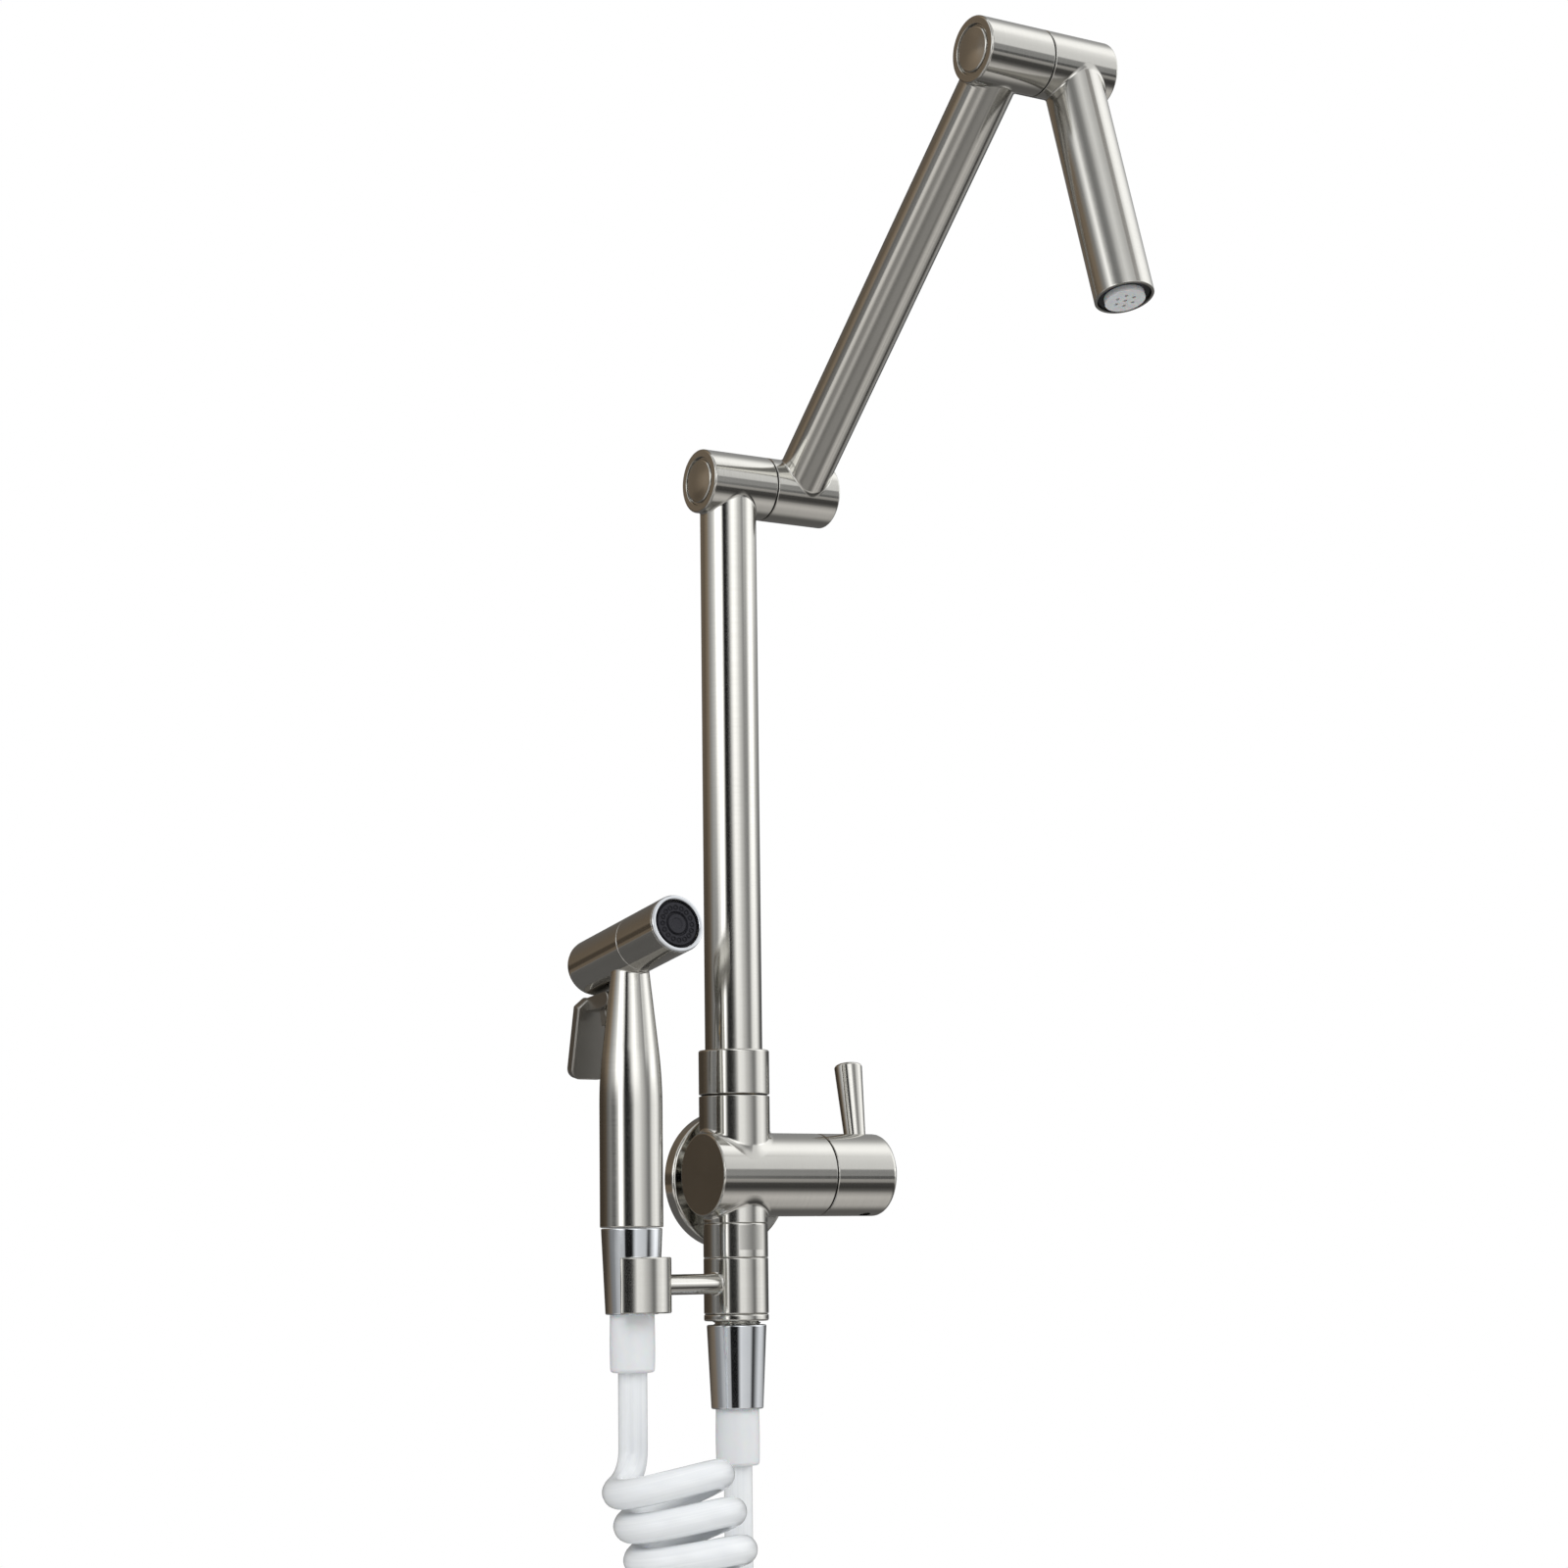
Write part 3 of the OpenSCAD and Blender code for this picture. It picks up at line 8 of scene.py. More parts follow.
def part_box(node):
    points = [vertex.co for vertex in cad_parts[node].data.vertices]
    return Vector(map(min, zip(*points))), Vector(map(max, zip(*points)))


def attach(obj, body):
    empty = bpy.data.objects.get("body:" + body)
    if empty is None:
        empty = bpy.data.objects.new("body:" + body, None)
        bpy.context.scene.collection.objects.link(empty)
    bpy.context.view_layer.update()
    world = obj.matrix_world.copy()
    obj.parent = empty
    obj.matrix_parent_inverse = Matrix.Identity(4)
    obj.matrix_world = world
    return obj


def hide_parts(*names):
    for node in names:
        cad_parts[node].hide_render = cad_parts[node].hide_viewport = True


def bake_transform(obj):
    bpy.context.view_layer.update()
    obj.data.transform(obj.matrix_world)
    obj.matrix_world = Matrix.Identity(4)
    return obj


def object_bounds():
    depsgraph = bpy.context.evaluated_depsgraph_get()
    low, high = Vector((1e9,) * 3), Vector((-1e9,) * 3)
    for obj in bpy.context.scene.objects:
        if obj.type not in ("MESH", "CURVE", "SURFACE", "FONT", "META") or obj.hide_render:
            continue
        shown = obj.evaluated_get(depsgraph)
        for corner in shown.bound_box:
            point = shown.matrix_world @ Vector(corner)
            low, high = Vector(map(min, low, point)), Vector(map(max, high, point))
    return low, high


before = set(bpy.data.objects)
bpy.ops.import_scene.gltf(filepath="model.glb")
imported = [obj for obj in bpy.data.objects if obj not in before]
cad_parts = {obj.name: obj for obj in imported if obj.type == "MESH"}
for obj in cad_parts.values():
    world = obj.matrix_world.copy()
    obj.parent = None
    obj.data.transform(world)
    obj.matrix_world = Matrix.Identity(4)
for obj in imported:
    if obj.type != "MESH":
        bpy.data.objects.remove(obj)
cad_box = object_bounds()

# Camera
# It stands where the photograph was taken from, low on the left and turned slightly up.
photo_side = 1600
focal_in_pixels = 3493.14
sensor = 36
camera_place = (-0.81056, -1.29553, -0.03631)
camera_yaw = -0.5783
camera_pitch = 0.1377
camera_roll = -0.0127
camera = bpy.data.objects.new("photo_camera", bpy.data.cameras.new("photo_camera"))
bpy.context.scene.collection.objects.link(camera)
camera.data.sensor_width = sensor
camera.data.lens = focal_in_pixels * sensor / photo_side
camera.data.clip_start = 0.05
camera.matrix_world = (
    Matrix.Translation(camera_place)
    @ Matrix.Rotation(camera_yaw, 4, "Z")
    @ Matrix.Rotation(math.pi / 2 + camera_pitch, 4, "X")
    @ Matrix.Rotation(camera_roll, 4, "Z")
)
bpy.context.scene.camera = camera

# Hose
# A curled hose of milky polyurethane, extruded and wound warm on a bar. It leaves the hand spray's ferrule,
# hangs down in curls and comes up again to the ferrule under the tap. Its ends are crimped in the ferrules.
mm = 0.001
smooth_below = math.radians(32)


def middle(node):
    """The middle of a CAD node's box"""
    low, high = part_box(node)
    return (low + high) / 2


def half_width(node):
    """Half of a CAD node's width along X"""
    low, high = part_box(node)
    return (high.x - low.x) / 2


def skin(name, sheet, place=Matrix.Identity(4)):
    """A solid wrapped in a sheet of rows of points, whose first and last columns meet.
    Its UV map is in metres: U runs round the rows and V from row to row."""
    sheet = np.asarray(sheet, float)
    rows, columns = sheet.shape[:2]
    bpy.ops.object.select_all(action="DESELECT")
    bpy.ops.mesh.primitive_grid_add(x_subdivisions=columns - 1, y_subdivisions=rows - 1)
    piece = bpy.context.object
    piece.name = piece.data.name = name
    girth = np.linalg.norm(np.diff(sheet, axis=1), axis=2).sum(axis=1).max()
    steps = np.linalg.norm(np.diff(sheet, axis=0), axis=2)
    along = np.vstack([np.zeros(columns), np.cumsum(steps, axis=0)])
    around = np.tile(np.linspace(0, girth, columns), (rows, 1))
    corners = np.empty(len(piece.data.loops), int)
    piece.data.loops.foreach_get("vertex_index", corners)
    chart = np.stack([around.ravel(), along.ravel()], axis=1)[corners]
    piece.data.uv_layers.active.data.foreach_set("uv", chart.ravel())
    turn, shift = np.array(place.to_3x3()), np.array(place.translation)
    piece.data.vertices.foreach_set("co", (sheet.reshape(-1, 3) @ turn.T + shift).ravel())
    bpy.ops.object.mode_set(mode="EDIT")
    bpy.ops.mesh.select_all(action="SELECT")
    bpy.ops.mesh.remove_doubles(threshold=1e-6)
    bpy.ops.mesh.fill_holes(sides=0)
    bpy.ops.mesh.select_all(action="SELECT")
    bpy.ops.mesh.normals_make_consistent(inside=False)
    bpy.ops.object.mode_set(mode="OBJECT")
    bpy.ops.object.shade_smooth_by_angle(angle=smooth_below)
    return piece


def swept(path, radius, sides):
    """Rows of a round tube along a path, whose rings don't twist against each other"""
    path = np.asarray(path, float)
    ahead = np.gradient(path, axis=0)
    ahead /= np.linalg.norm(ahead, axis=1)[:, None]
    turn = np.linspace(0, 2 * math.pi, sides + 1)[:, None]
    side = np.array([1.0, 0, 0])
    rows = []
    for point, way in zip(path, ahead):
        side = side - (side @ way) * way
        side /= np.linalg.norm(side)
        rows.append(point + radius * (np.cos(turn) * side + np.sin(turn) * np.cross(way, side)))
    return np.array(rows)


def linear(hex_colour):
    """The linear colour of an sRGB hex value"""
    shares = [int(hex_colour[i : i + 2], 16) / 255 for i in (0, 2, 4)]
    return [s / 12.92 if s <= 0.04045 else ((s + 0.055) / 1.055) ** 2.4 for s in shares] + [1]


def wire(tree, node, settings=(), links=()):
    """Sets a shader node's inputs and properties, and links what feeds it. Stops are those of a colour ramp.
    A link comes from an output, or from a node, which stands for its first output."""
    for name, value in dict(settings).items():
        if name == "stops":
            for place, colour in value[2:]:
                node.color_ramp.elements.new(place)
            for element, (place, colour) in zip(node.color_ramp.elements, value):
                element.position = place
                element.color = colour
        elif isinstance(name, int) or name in node.inputs:
            node.inputs[name].default_value = value
        else:
            setattr(node, name, value)
    for name, source in dict(links).items():
        output = source if isinstance(source, bpy.types.NodeSocket) else source.outputs[0]
        tree.links.new(output, node.inputs[name])
    return node


def add(tree, kind, settings=(), links=()):
    """Adds a shader node with its settings and links. A Mix of colours takes its factor at input 0 and the
    colours at 6 and 7, and gives the result at output 2."""
    return wire(tree, tree.nodes.new("ShaderNode" + kind), settings, links)


def new_material(name):
    """An empty material, as (material, tree, shader)"""
    material = bpy.data.materials.new(name)
    material.use_nodes = True
    tree = material.node_tree
    return material, tree, tree.nodes["Principled BSDF"]


def two_toned(tree, light, dark, scale, detail):
    """Two tones in patches of noise, as (noise, colour)"""
    place = add(tree, "TexCoord").outputs["Object"]
    noise = add(tree, "TexNoise", {"Scale": scale, "Detail": detail}, {"Vector": place})
    tones = add(tree, "Mix", {"data_type": "RGBA", 6: linear(light), 7: linear(dark)}, {0: noise})
    return noise, tones.outputs[2]


def dress(piece, material, body, slot, *nodes):
    """Gives a piece its material and body and hides the CAD nodes that it stands for. Its slot, the finish,
    is not used.
    """
    piece.data.materials.clear()
    piece.data.materials.append(material)
    if body:
        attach(piece, body)
    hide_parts(*nodes)


def bezier(a, b, c, d, steps):
    """Points of a Bezier curve, without its last one"""
    return [
        (1 - t) ** 3 * a + 3 * (1 - t) ** 2 * t * b + 3 * (1 - t) * t * t * c + t**3 * d
        for t in (i / steps for i in range(steps))
    ]


hose_d = 12.2 * mm
curl_r = 21.1 * mm
curl_pitch = 15 * mm
curls = 9.593
coil_top = Vector((-75.6, -73.7, -122.3)) * mm
coil_way = math.radians(-33)
coil_start = math.radians(160)
coil_tilt = math.radians(19.7)
lead_bend = 15 * mm
tail_bend = 49 * mm
tail_reach = 46 * mm
quarter = 0.552
nudge = 0.001
hose_sunk = 2 * mm
lead_steps = 8
lead_bend_steps = 12
tail_bend_steps = 30
rise_steps = 12
rings_per_curl = 36
hose_sides = 28
coil_right = Vector((math.cos(coil_way), math.sin(coil_way), 0))
coil_back = Vector((-math.sin(coil_way), math.cos(coil_way), 0))
up = Vector((0, 0, 1))


def coil_point(u):
    """A point on the middle line of the curls, from 0 at their top to 1 at their bottom"""
    tilt = coil_tilt * (1 - u)
    turn = coil_start + 2 * math.pi * curls * u
    bend = curls * curl_pitch / coil_tilt
    centre = coil_top + bend * (math.cos(tilt) - math.cos(coil_tilt)) * coil_right
    centre = centre - bend * (math.sin(coil_tilt) - math.sin(tilt)) * up
    out = math.cos(tilt) * coil_right + math.sin(tilt) * up
    return centre + curl_r * (math.cos(turn) * out + math.sin(turn) * coil_back)


def hose_exit(ferrule):
    """The middle of a ferrule's foot, where the hose leaves it"""
    point = middle(ferrule)
    point.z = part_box(ferrule)[0].z
    return point


spray_exit = hose_exit("spray_hose_ferrule")
outlet_exit = hose_exit("outlet_hose_ferrule")
coil_in = (coil_point(nudge) - coil_point(0)).normalized()
coil_out = (coil_point(1) - coil_point(1 - nudge)).normalized()
lead_foot = Vector((spray_exit.x, spray_exit.y, coil_point(0).z + lead_bend))
tail_foot = Vector((outlet_exit.x, outlet_exit.y, coil_point(1).z + tail_bend))
coil_rings = round(curls * rings_per_curl)
hose_path = [
    spray_exit + hose_sunk * up,
    *[spray_exit.lerp(lead_foot, i / lead_steps) for i in range(lead_steps)],
    *bezier(
        lead_foot, lead_foot - quarter * lead_bend * up,
        coil_point(0) - quarter * lead_bend * coil_in, coil_point(0), lead_bend_steps,
    ),
    *[coil_point(i / coil_rings) for i in range(coil_rings)],
    *bezier(
        coil_point(1), coil_point(1) + tail_reach * coil_out,
        tail_foot - quarter * tail_bend * up, tail_foot, tail_bend_steps,
    ),
    *[tail_foot.lerp(outlet_exit, i / rise_steps) for i in range(rise_steps + 1)],
    outlet_exit + hose_sunk * up,
]
hose = skin("curled_hose", swept(hose_path, hose_d / 2, hose_sides))

# Polyurethane (TPU), extruded milky white: a smooth, glossy skin that lets light in a little way. Faint
# lengthwise streaks come from the extruder's die. They are 0.8 mm wide, coarser than real so that they show.
hose_skin, tree, shader = new_material("tpu_extruded_milky_white")
chart = add(tree, "UVMap", {"uv_map": "UVMap"})
along_hose = add(tree, "Mapping", {"Scale": (1 / (0.8 * mm), 1 / (90 * mm), 1)}, {"Vector": chart})
streaks = add(tree, "TexNoise", {"Scale": 1, "Detail": 3, "Roughness": 0.6}, {"Vector": along_hose})
clouds, cloudy = two_toned(tree, "EEF0F1", "E4E7EA", 1 / (18 * mm), 2)
faint = {"From Min": 0.35, "From Max": 0.75, "To Min": 0, "To Max": 0.35}
streaky = add(tree, "MapRange", faint, {"Value": streaks})
milky = add(tree, "Mix", {"data_type": "RGBA", 7: linear("CFD3D7")}, {0: streaky, 6: cloudy})
gloss = add(tree, "MapRange", {"To Min": 0.1, "To Max": 0.2}, {"Value": clouds})
ripple = add(tree, "Bump", {"Strength": 0.08, "Distance": 0.05 * mm}, {"Height": streaks})
lets_light_in_deep = {
    "IOR": 1.5, "Subsurface Weight": 0.25, "Subsurface Scale": 1,
    "Subsurface Radius": (3 * mm, 3 * mm, 3.4 * mm),
}
milky_look = {"Base Color": milky.outputs[2], "Roughness": gloss, "Normal": ripple}
wire(tree, shader, lets_light_in_deep, milky_look)
dress(hose, hose_skin, None, "hose_plastic", "spray_hose")
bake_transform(hose)

# Wall plate
# A turned plate of brass, brushed and plated with nickel, that hides the hole in the wall. Its hole is
# wider than the inlet neck, so it hangs a little low on it.
segments = 96
around = np.linspace(0, 2 * math.pi, segments + 1)


def placed(origin, up_axis, side_axis=(1, 0, 0)):
    """The matrix of a piece whose own Z runs along up_axis, and whose X runs as near side_axis as it can"""
    z = Vector(up_axis).normalized()
    x = Vector(side_axis)
    x = (x - x.dot(z) * z).normalized()
    turn = Matrix((x, z.cross(x), z)).transposed()
    return Matrix.Translation(origin) @ turn.to_4x4()


def rounded(corners, steps=6, support=0.15 * mm):
    """A profile with its corners rounded. Each corner is (radius from the axis, height, rounding)."""
    points = []
    for i, (x, y, rounding) in enumerate(corners):
        corner = Vector((x, y))
        if not rounding:
            points.append(corner)
            continue
        back = (Vector(corners[i - 1][:2]) - corner).normalized()
        on = (Vector(corners[i + 1][:2]) - corner).normalized()
        half = back.angle(on) / 2
        reach = rounding / math.tan(half)
        centre = corner + (back + on).normalized() * rounding / math.sin(half)
        first, last = corner + reach * back - centre, corner + reach * on - centre
        points.append(corner + (reach + support) * back)
        points += [centre + rounding * first.slerp(last, s / steps).normalized() for s in range(steps + 1)]
        points.append(corner + (reach + support) * on)
    return points


def circles(profile):
    """Rows of a profile turned about the Z axis"""
    return np.array([[(r * np.cos(a), r * np.sin(a), z) for a in around] for r, z in profile])


def turned(name, place, corners):
    """A piece turned about its own Z axis from a profile with rounded corners"""
    return skin(name, circles(rounded(corners)), place)


# Brushed nickel on brass. It was brushed round each piece while it turned, then plated and lacquered.
# Grooves 0.35 mm wide, coarser than real so that they show, run round and smear highlights lengthwise.
nickel, tree, shader = new_material("brushed_nickel_plate_on_brass")
chart = add(tree, "UVMap", {"uv_map": "UVMap"})
round_it = add(tree, "Mapping", {"Scale": (1 / (45 * mm), 1 / (0.35 * mm), 1)}, {"Vector": chart})
grooves = add(tree, "TexNoise", {"Scale": 1, "Detail": 4, "Roughness": 0.65}, {"Vector": round_it})
tone = two_toned(tree, "D2D1CC", "CAC9C4", 1 / (30 * mm), 2)[1]
wear = {"From Min": 0.3, "From Max": 0.7, "To Min": 0, "To Max": 0.25}
worn = add(tree, "MapRange", wear, {"Value": grooves})
groove_tone = add(tree, "Mix", {"data_type": "RGBA", 7: linear("BDBBB6")}, {0: worn, 6: tone})
satin = {"From Min": 0.3, "From Max": 0.7, "To Min": 0.09, "To Max": 0.15}
gloss = add(tree, "MapRange", satin, {"Value": grooves})
ripple = add(tree, "Bump", {"Strength": 0.06, "Distance": 0.02 * mm}, {"Height": grooves})
along_brush = add(tree, "Tangent", {"direction_type": "UV_MAP", "uv_map": "UVMap"})
wire(
    tree, shader, {"Metallic": 1, "Anisotropic": 0.85, "Anisotropic Rotation": 0.25},
    {"Base Color": groove_tone.outputs[2], "Roughness": gloss, "Normal": ripple, "Tangent": along_brush},
)


def plated(piece, body, *nodes):
    """Dresses a piece in brushed nickel"""
    dress(piece, nickel, body, "brushed_nickel", *nodes)


plate_low, plate_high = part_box("wall_flange")
plate_r = half_width("wall_flange")
plate_t = plate_high.y - plate_low.y
plate_hole = 28.9 / 2 * mm
plate_crown = 0.2 * mm
plate_middle = Vector((0, 0, (plate_low.z + plate_high.z) / 2))
outwards = placed((0, 0, 0), (0, -1, 0))
plate = turned("wall_plate", placed(plate_middle, (0, -1, 0)), [
    (plate_hole, 0, 0), (plate_r, 0, 0.3 * mm), (plate_r, plate_t - plate_crown, 1.5 * mm),
    (plate_hole, plate_t, 0.4 * mm), (plate_hole, 0, 0),
])
plated(plate, "base", "wall_flange")

# Inlet nipple
# A G 1/2 nipple, turned from brass bar with a cut thread of 14 turns to the inch. It joins the tap's inlet
# neck to the pipe in the wall, through the hole in the plate.
thread_pitch = 25.4 / 14 * mm
thread_depth = 1.16 * mm
thread_run_out = 1 * mm
rows_per_turn = 14


def inner_finish(name, light, dark, metallic, gloss, grain, ripple, more=()):
    """A finish of two tones with a grain of the given size, for the pieces inside and for small fittings"""
    material, tree, shader = new_material(name)
    place = add(tree, "TexCoord").outputs["Object"]
    speckle = add(tree, "TexNoise", {"Scale": 1 / grain, "Detail": 3}, {"Vector": place})
    tone = two_toned(tree, light, dark, 1 / (20 * grain), 2)[1]
    span = {"From Min": 0.3, "From Max": 0.7, "To Min": gloss[0], "To Max": gloss[1]}
    shine = add(tree, "MapRange", span, {"Value": speckle})
    bumps = add(tree, "Bump", {"Strength": ripple, "Distance": 0.05 * mm}, {"Height": speckle})
    wire(
        tree, shader, {"Metallic": metallic, **dict(more)},
        {"Base Color": tone, "Roughness": shine, "Normal": bumps},
    )
    return material


def finish_nodes(material, *nodes):
    """Gives CAD nodes that stay a better material"""
    for node in nodes:
        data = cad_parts[node].data
        data.materials.clear()
        data.materials.append(material)


def threaded(name, place, radius, bore, start, end):
    """A pipe with an outer thread along it, chamfered at both ends"""
    height = np.linspace(start, end, round((end - start) / thread_pitch * rows_per_turn))[:, None]
    wave = (1 - np.cos(2 * np.pi * height / thread_pitch - around)) / 2
    ends = np.clip(1 - np.minimum(height - start, end - height) / thread_run_out, 0, 1)
    reach = radius - thread_depth * np.maximum(wave, ends)
    outside = np.stack([reach * np.cos(around), reach * np.sin(around), height + 0 * around], axis=2)
    inside = circles([(bore, end), (bore, start)])
    return skin(name, np.concatenate([inside[1:], outside, inside]), place)


# Brass (CuZn39Pb3), turned and left bare: warm yellow, with a dull satin cut.
brass = inner_finish("brass_turned_bare", "C9A85C", "B4924A", 1, (0.22, 0.42), 0.4 * mm, 0.15)
thread_r = 20.96 / 2 * mm
inlet_bore = 13 / 2 * mm
nipple_low, nipple_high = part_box("inlet_nipple")
nipple = threaded("inlet_nipple_threaded", outwards, thread_r, inlet_bore, -nipple_high.y, -nipple_low.y)
dress(nipple, brass, "base", "brass", "inlet_nipple")

# Valve body
# The body of the tap: a brass casting, bored for the cartridge, with a neck up for the riser, a neck down
# for the hose and one back for the wall. Its crotches are ground to small fillets, and all of it is brushed
# and plated.
bored_from = 0.6
well_inside = 0.9
fillet_sunk = 0.02 * mm
above_fillet = 0.3 * mm


def saddle(radius, barrel, fillet, lean=0.0, widen=0.0, steps=8, rounds=6):
    """Rows that take a tube, which runs along Z, down onto a barrel along X with a fillet. The barrel may
    lean towards Z, and the tube may widen by a share of its height. The rounds settle where they meet."""
    c, s = math.cos(lean), math.sin(lean)
    x, y = np.cos(around), np.sin(around)
    reach = radius + 0 * around
    for _ in range(rounds):
        out = reach + fillet
        foot = (out * x * s + np.sqrt(barrel**2 - (out * y) ** 2)) / c
        along = out * x * c + foot * s
        normal = np.stack([out * x - along * c, out * y, foot - along * s]) / barrel
        meet = foot + (fillet * x * normal[0] + fillet * y * normal[1]) / normal[2]
        reach = radius + widen * meet
    top = meet + fillet
    rows = []
    for height in (top + above_fillet, top):
        tube = radius + widen * height
        rows.append(np.stack([tube * x, tube * y, height], axis=1))
    start = rows[-1]
    bend = np.stack([reach * x, reach * y, meet], axis=1)
    end = np.stack([out * x, out * y, foot - fillet_sunk], axis=1)
    for step in range(1, steps + 1):
        t = step / steps
        rows.append((1 - t) ** 2 * start + 2 * t * (1 - t) * bend + t * t * end)
    rows.append(well_inside * end)
    return np.array(rows)


def brazed(name, place, radius, bore, barrel, fillet, far):
    """A tube that stands on a barrel. Far is the height of its flat end, or the height and fillet of a
    second barrel like the first."""
    near = saddle(radius, barrel, fillet)
    depth = barrel * bored_from
    if isinstance(far, tuple):
        height, far_fillet = far
        end = saddle(radius, barrel, far_fillet)
        end[:, :, 2] = height - end[:, :, 2]
        bore_ends = [(bore, depth), (bore, height - depth)]
        sheet = [circles(bore_ends[1:]), end[::-1], near, circles(bore_ends)]
    else:
        lip = circles(rounded([(bore, far, 0), (radius, far, 0.3 * mm), (radius, 0, 0)])[:-1])
        sheet = [lip, near, circles([(bore, depth), (bore, far)])]
    return skin(name, np.concatenate(sheet), place)


def pick(*pieces):
    """Selects these pieces alone and makes the first one active"""
    bpy.ops.object.select_all(action="DESELECT")
    for piece in pieces:
        piece.select_set(True)
    bpy.context.view_layer.objects.active = pieces[0]


def joined(*pieces):
    """Several solids of one casting as one piece"""
    pick(*pieces)
    bpy.ops.object.join()
    return pieces[0]


valve_axis = middle("handle_cap")
valve_axis.x = 0
cap_low, cap_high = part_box("handle_cap")
body_low, body_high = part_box("valve_body")
body_r = (cap_high.z - cap_low.z) / 2
riser_x, riser_y = middle("riser_tube").xy
neck_r = half_width("riser_collar")
stack_r = half_width("holder_lock_ring")
inlet_neck_r = 26 / 2 * mm
riser_bore = 17 / 2 * mm
shank_bore = 16.8 / 2 * mm
cartridge_room = 25 / 2 * mm
outlet_room = 19 / 2 * mm
seat_bore = 11 / 2 * mm
seat_x = -1.3 * mm
partition = 1.7 * mm
outlet_end = -22 * mm
crotch = 1.8 * mm
along_body = placed(valve_axis, (1, 0, 0), (0, 1, 0))
barrel = turned("valve_body_cast", along_body, [
    (0, body_low.x, 0), (body_r, body_low.x, 0.8 * mm), (body_r, body_high.x, 0.4 * mm),
    (cartridge_room, body_high.x, 0.3 * mm), (cartridge_room, seat_x, 0), (seat_bore, seat_x, 0),
    (seat_bore, seat_x - partition, 0), (outlet_room, seat_x - partition, 0), (outlet_room, outlet_end, 0),
    (0, outlet_end, 0),
])
riser_foot = Vector((riser_x, riser_y, valve_axis.z))
upper_neck = brazed(
    "upper_neck", placed(riser_foot, (0, 0, 1)), neck_r, riser_bore, body_r, crotch, body_high.z
)
lower_neck = brazed(
    "lower_neck", placed(riser_foot, (0, 0, -1)), stack_r, shank_bore, body_r, crotch, -body_low.z
)
inlet_neck = brazed(
    "inlet_neck", placed(valve_axis, (0, 1, 0)), inlet_neck_r, thread_r, body_r, crotch,
    body_high.y - valve_axis.y,
)
body = joined(barrel, upper_neck, lower_neck, inlet_neck)
plated(body, "base", "valve_body")

# Cartridge
# A quarter turn ceramic cartridge: two lapped discs, one fixed and one turned by the splined stem, in a brass
# housing with side windows. A nut with a hexagonal socket holds it against a rubber ring on the body's seat.
# Alumina, pressed, fired and lapped: cream white, dense and nearly mirror flat.
alumina = inner_finish("alumina_lapped", "EFE9DC", "E4DCCB", 0, (0.12, 0.2), 0.3 * mm, 0.02)
# EPDM rubber, moulded: dull black with a fine grain.
seal_rubber = inner_finish("epdm_rubber_moulded", "202124", "17181A", 0, (0.5, 0.7), 0.2 * mm, 0.2)
# POM, injection moulded: off-white, waxy satin.
acetal = inner_finish("pom_injection_moulded", "DAD7CC", "CFCBBE", 0, (0.35, 0.5), 0.25 * mm, 0.08)
# Stainless steel, turned and left bare: neutral grey, bright satin.
steel = inner_finish("stainless_steel_turned", "A9ADB1", "93989D", 1, (0.22, 0.36), 0.3 * mm, 0.1)
finish_nodes(alumina, "fixed_ceramic_disc", "moving_ceramic_disc")
finish_nodes(seal_rubber, "cartridge_seal", "riser_orings", "elbow_orings", "wrist_orings")
finish_nodes(brass, "cartridge_housing", "cartridge_nut", "cartridge_stem", "riser_spigot")
finish_nodes(acetal, "check_valve")
# POM with carbon black, injection moulded: nearly black, satin. The slip washers show as dark lines in the
# seams.
dark_acetal = inner_finish("pom_black_injection_moulded", "2A2A2C", "1E1E20", 0, (0.4, 0.55), 0.25 * mm, 0.08)
finish_nodes(dark_acetal, "riser_slip_washer", "elbow_slip_washer", "wrist_slip_washer")
finish_nodes(steel, "handle_grub_screw", "collar_grub_screw", "elbow_circlip", "wrist_circlip")

# Handle
# The cap is a turned brass cup on the cartridge's splined stem, brushed and plated as the body is. Its end
# edge is well rounded. The lever is a slim reversed cone with a slightly domed tip, screwed into the cap.
lever_r = 9.6 / 2 * mm
lever_tip_r = 12.6 / 2 * mm
lever_len = 32.7 * mm
lever_x = 52.4 * mm
lever_back = math.radians(14)
lever_out = math.radians(4)
lever_dome = 0.5 * mm
lever_in_cap = 2 * mm
cap_end_round = 2.5 * mm
cap_wall = 3 * mm
cap_solid_x = cap_high.x - 16.5 * mm
stem_r = 9.1 / 2 * mm
stem_end_x = cap_high.x - 4.7 * mm
grub_r = 5.1 / 2 * mm


def cut(piece, cutter):
    """Cuts the cutter's shape out of a piece"""
    pick(piece)
    knife = piece.modifiers.new("cut", "BOOLEAN")
    knife.object = cutter
    knife.solver = "EXACT"
    bpy.ops.object.modifier_apply(modifier=knife.name)
    bpy.data.objects.remove(cutter)
    bpy.ops.object.shade_smooth_by_angle(angle=smooth_below)


def drill(piece, place, radius, depth):
    """Drills a hole into a piece, from a place along its Z axis"""
    cut(piece, turned("drill", place, [(0, 0, 0), (radius, 0, 0), (radius, depth, 0), (0, depth, 0)]))


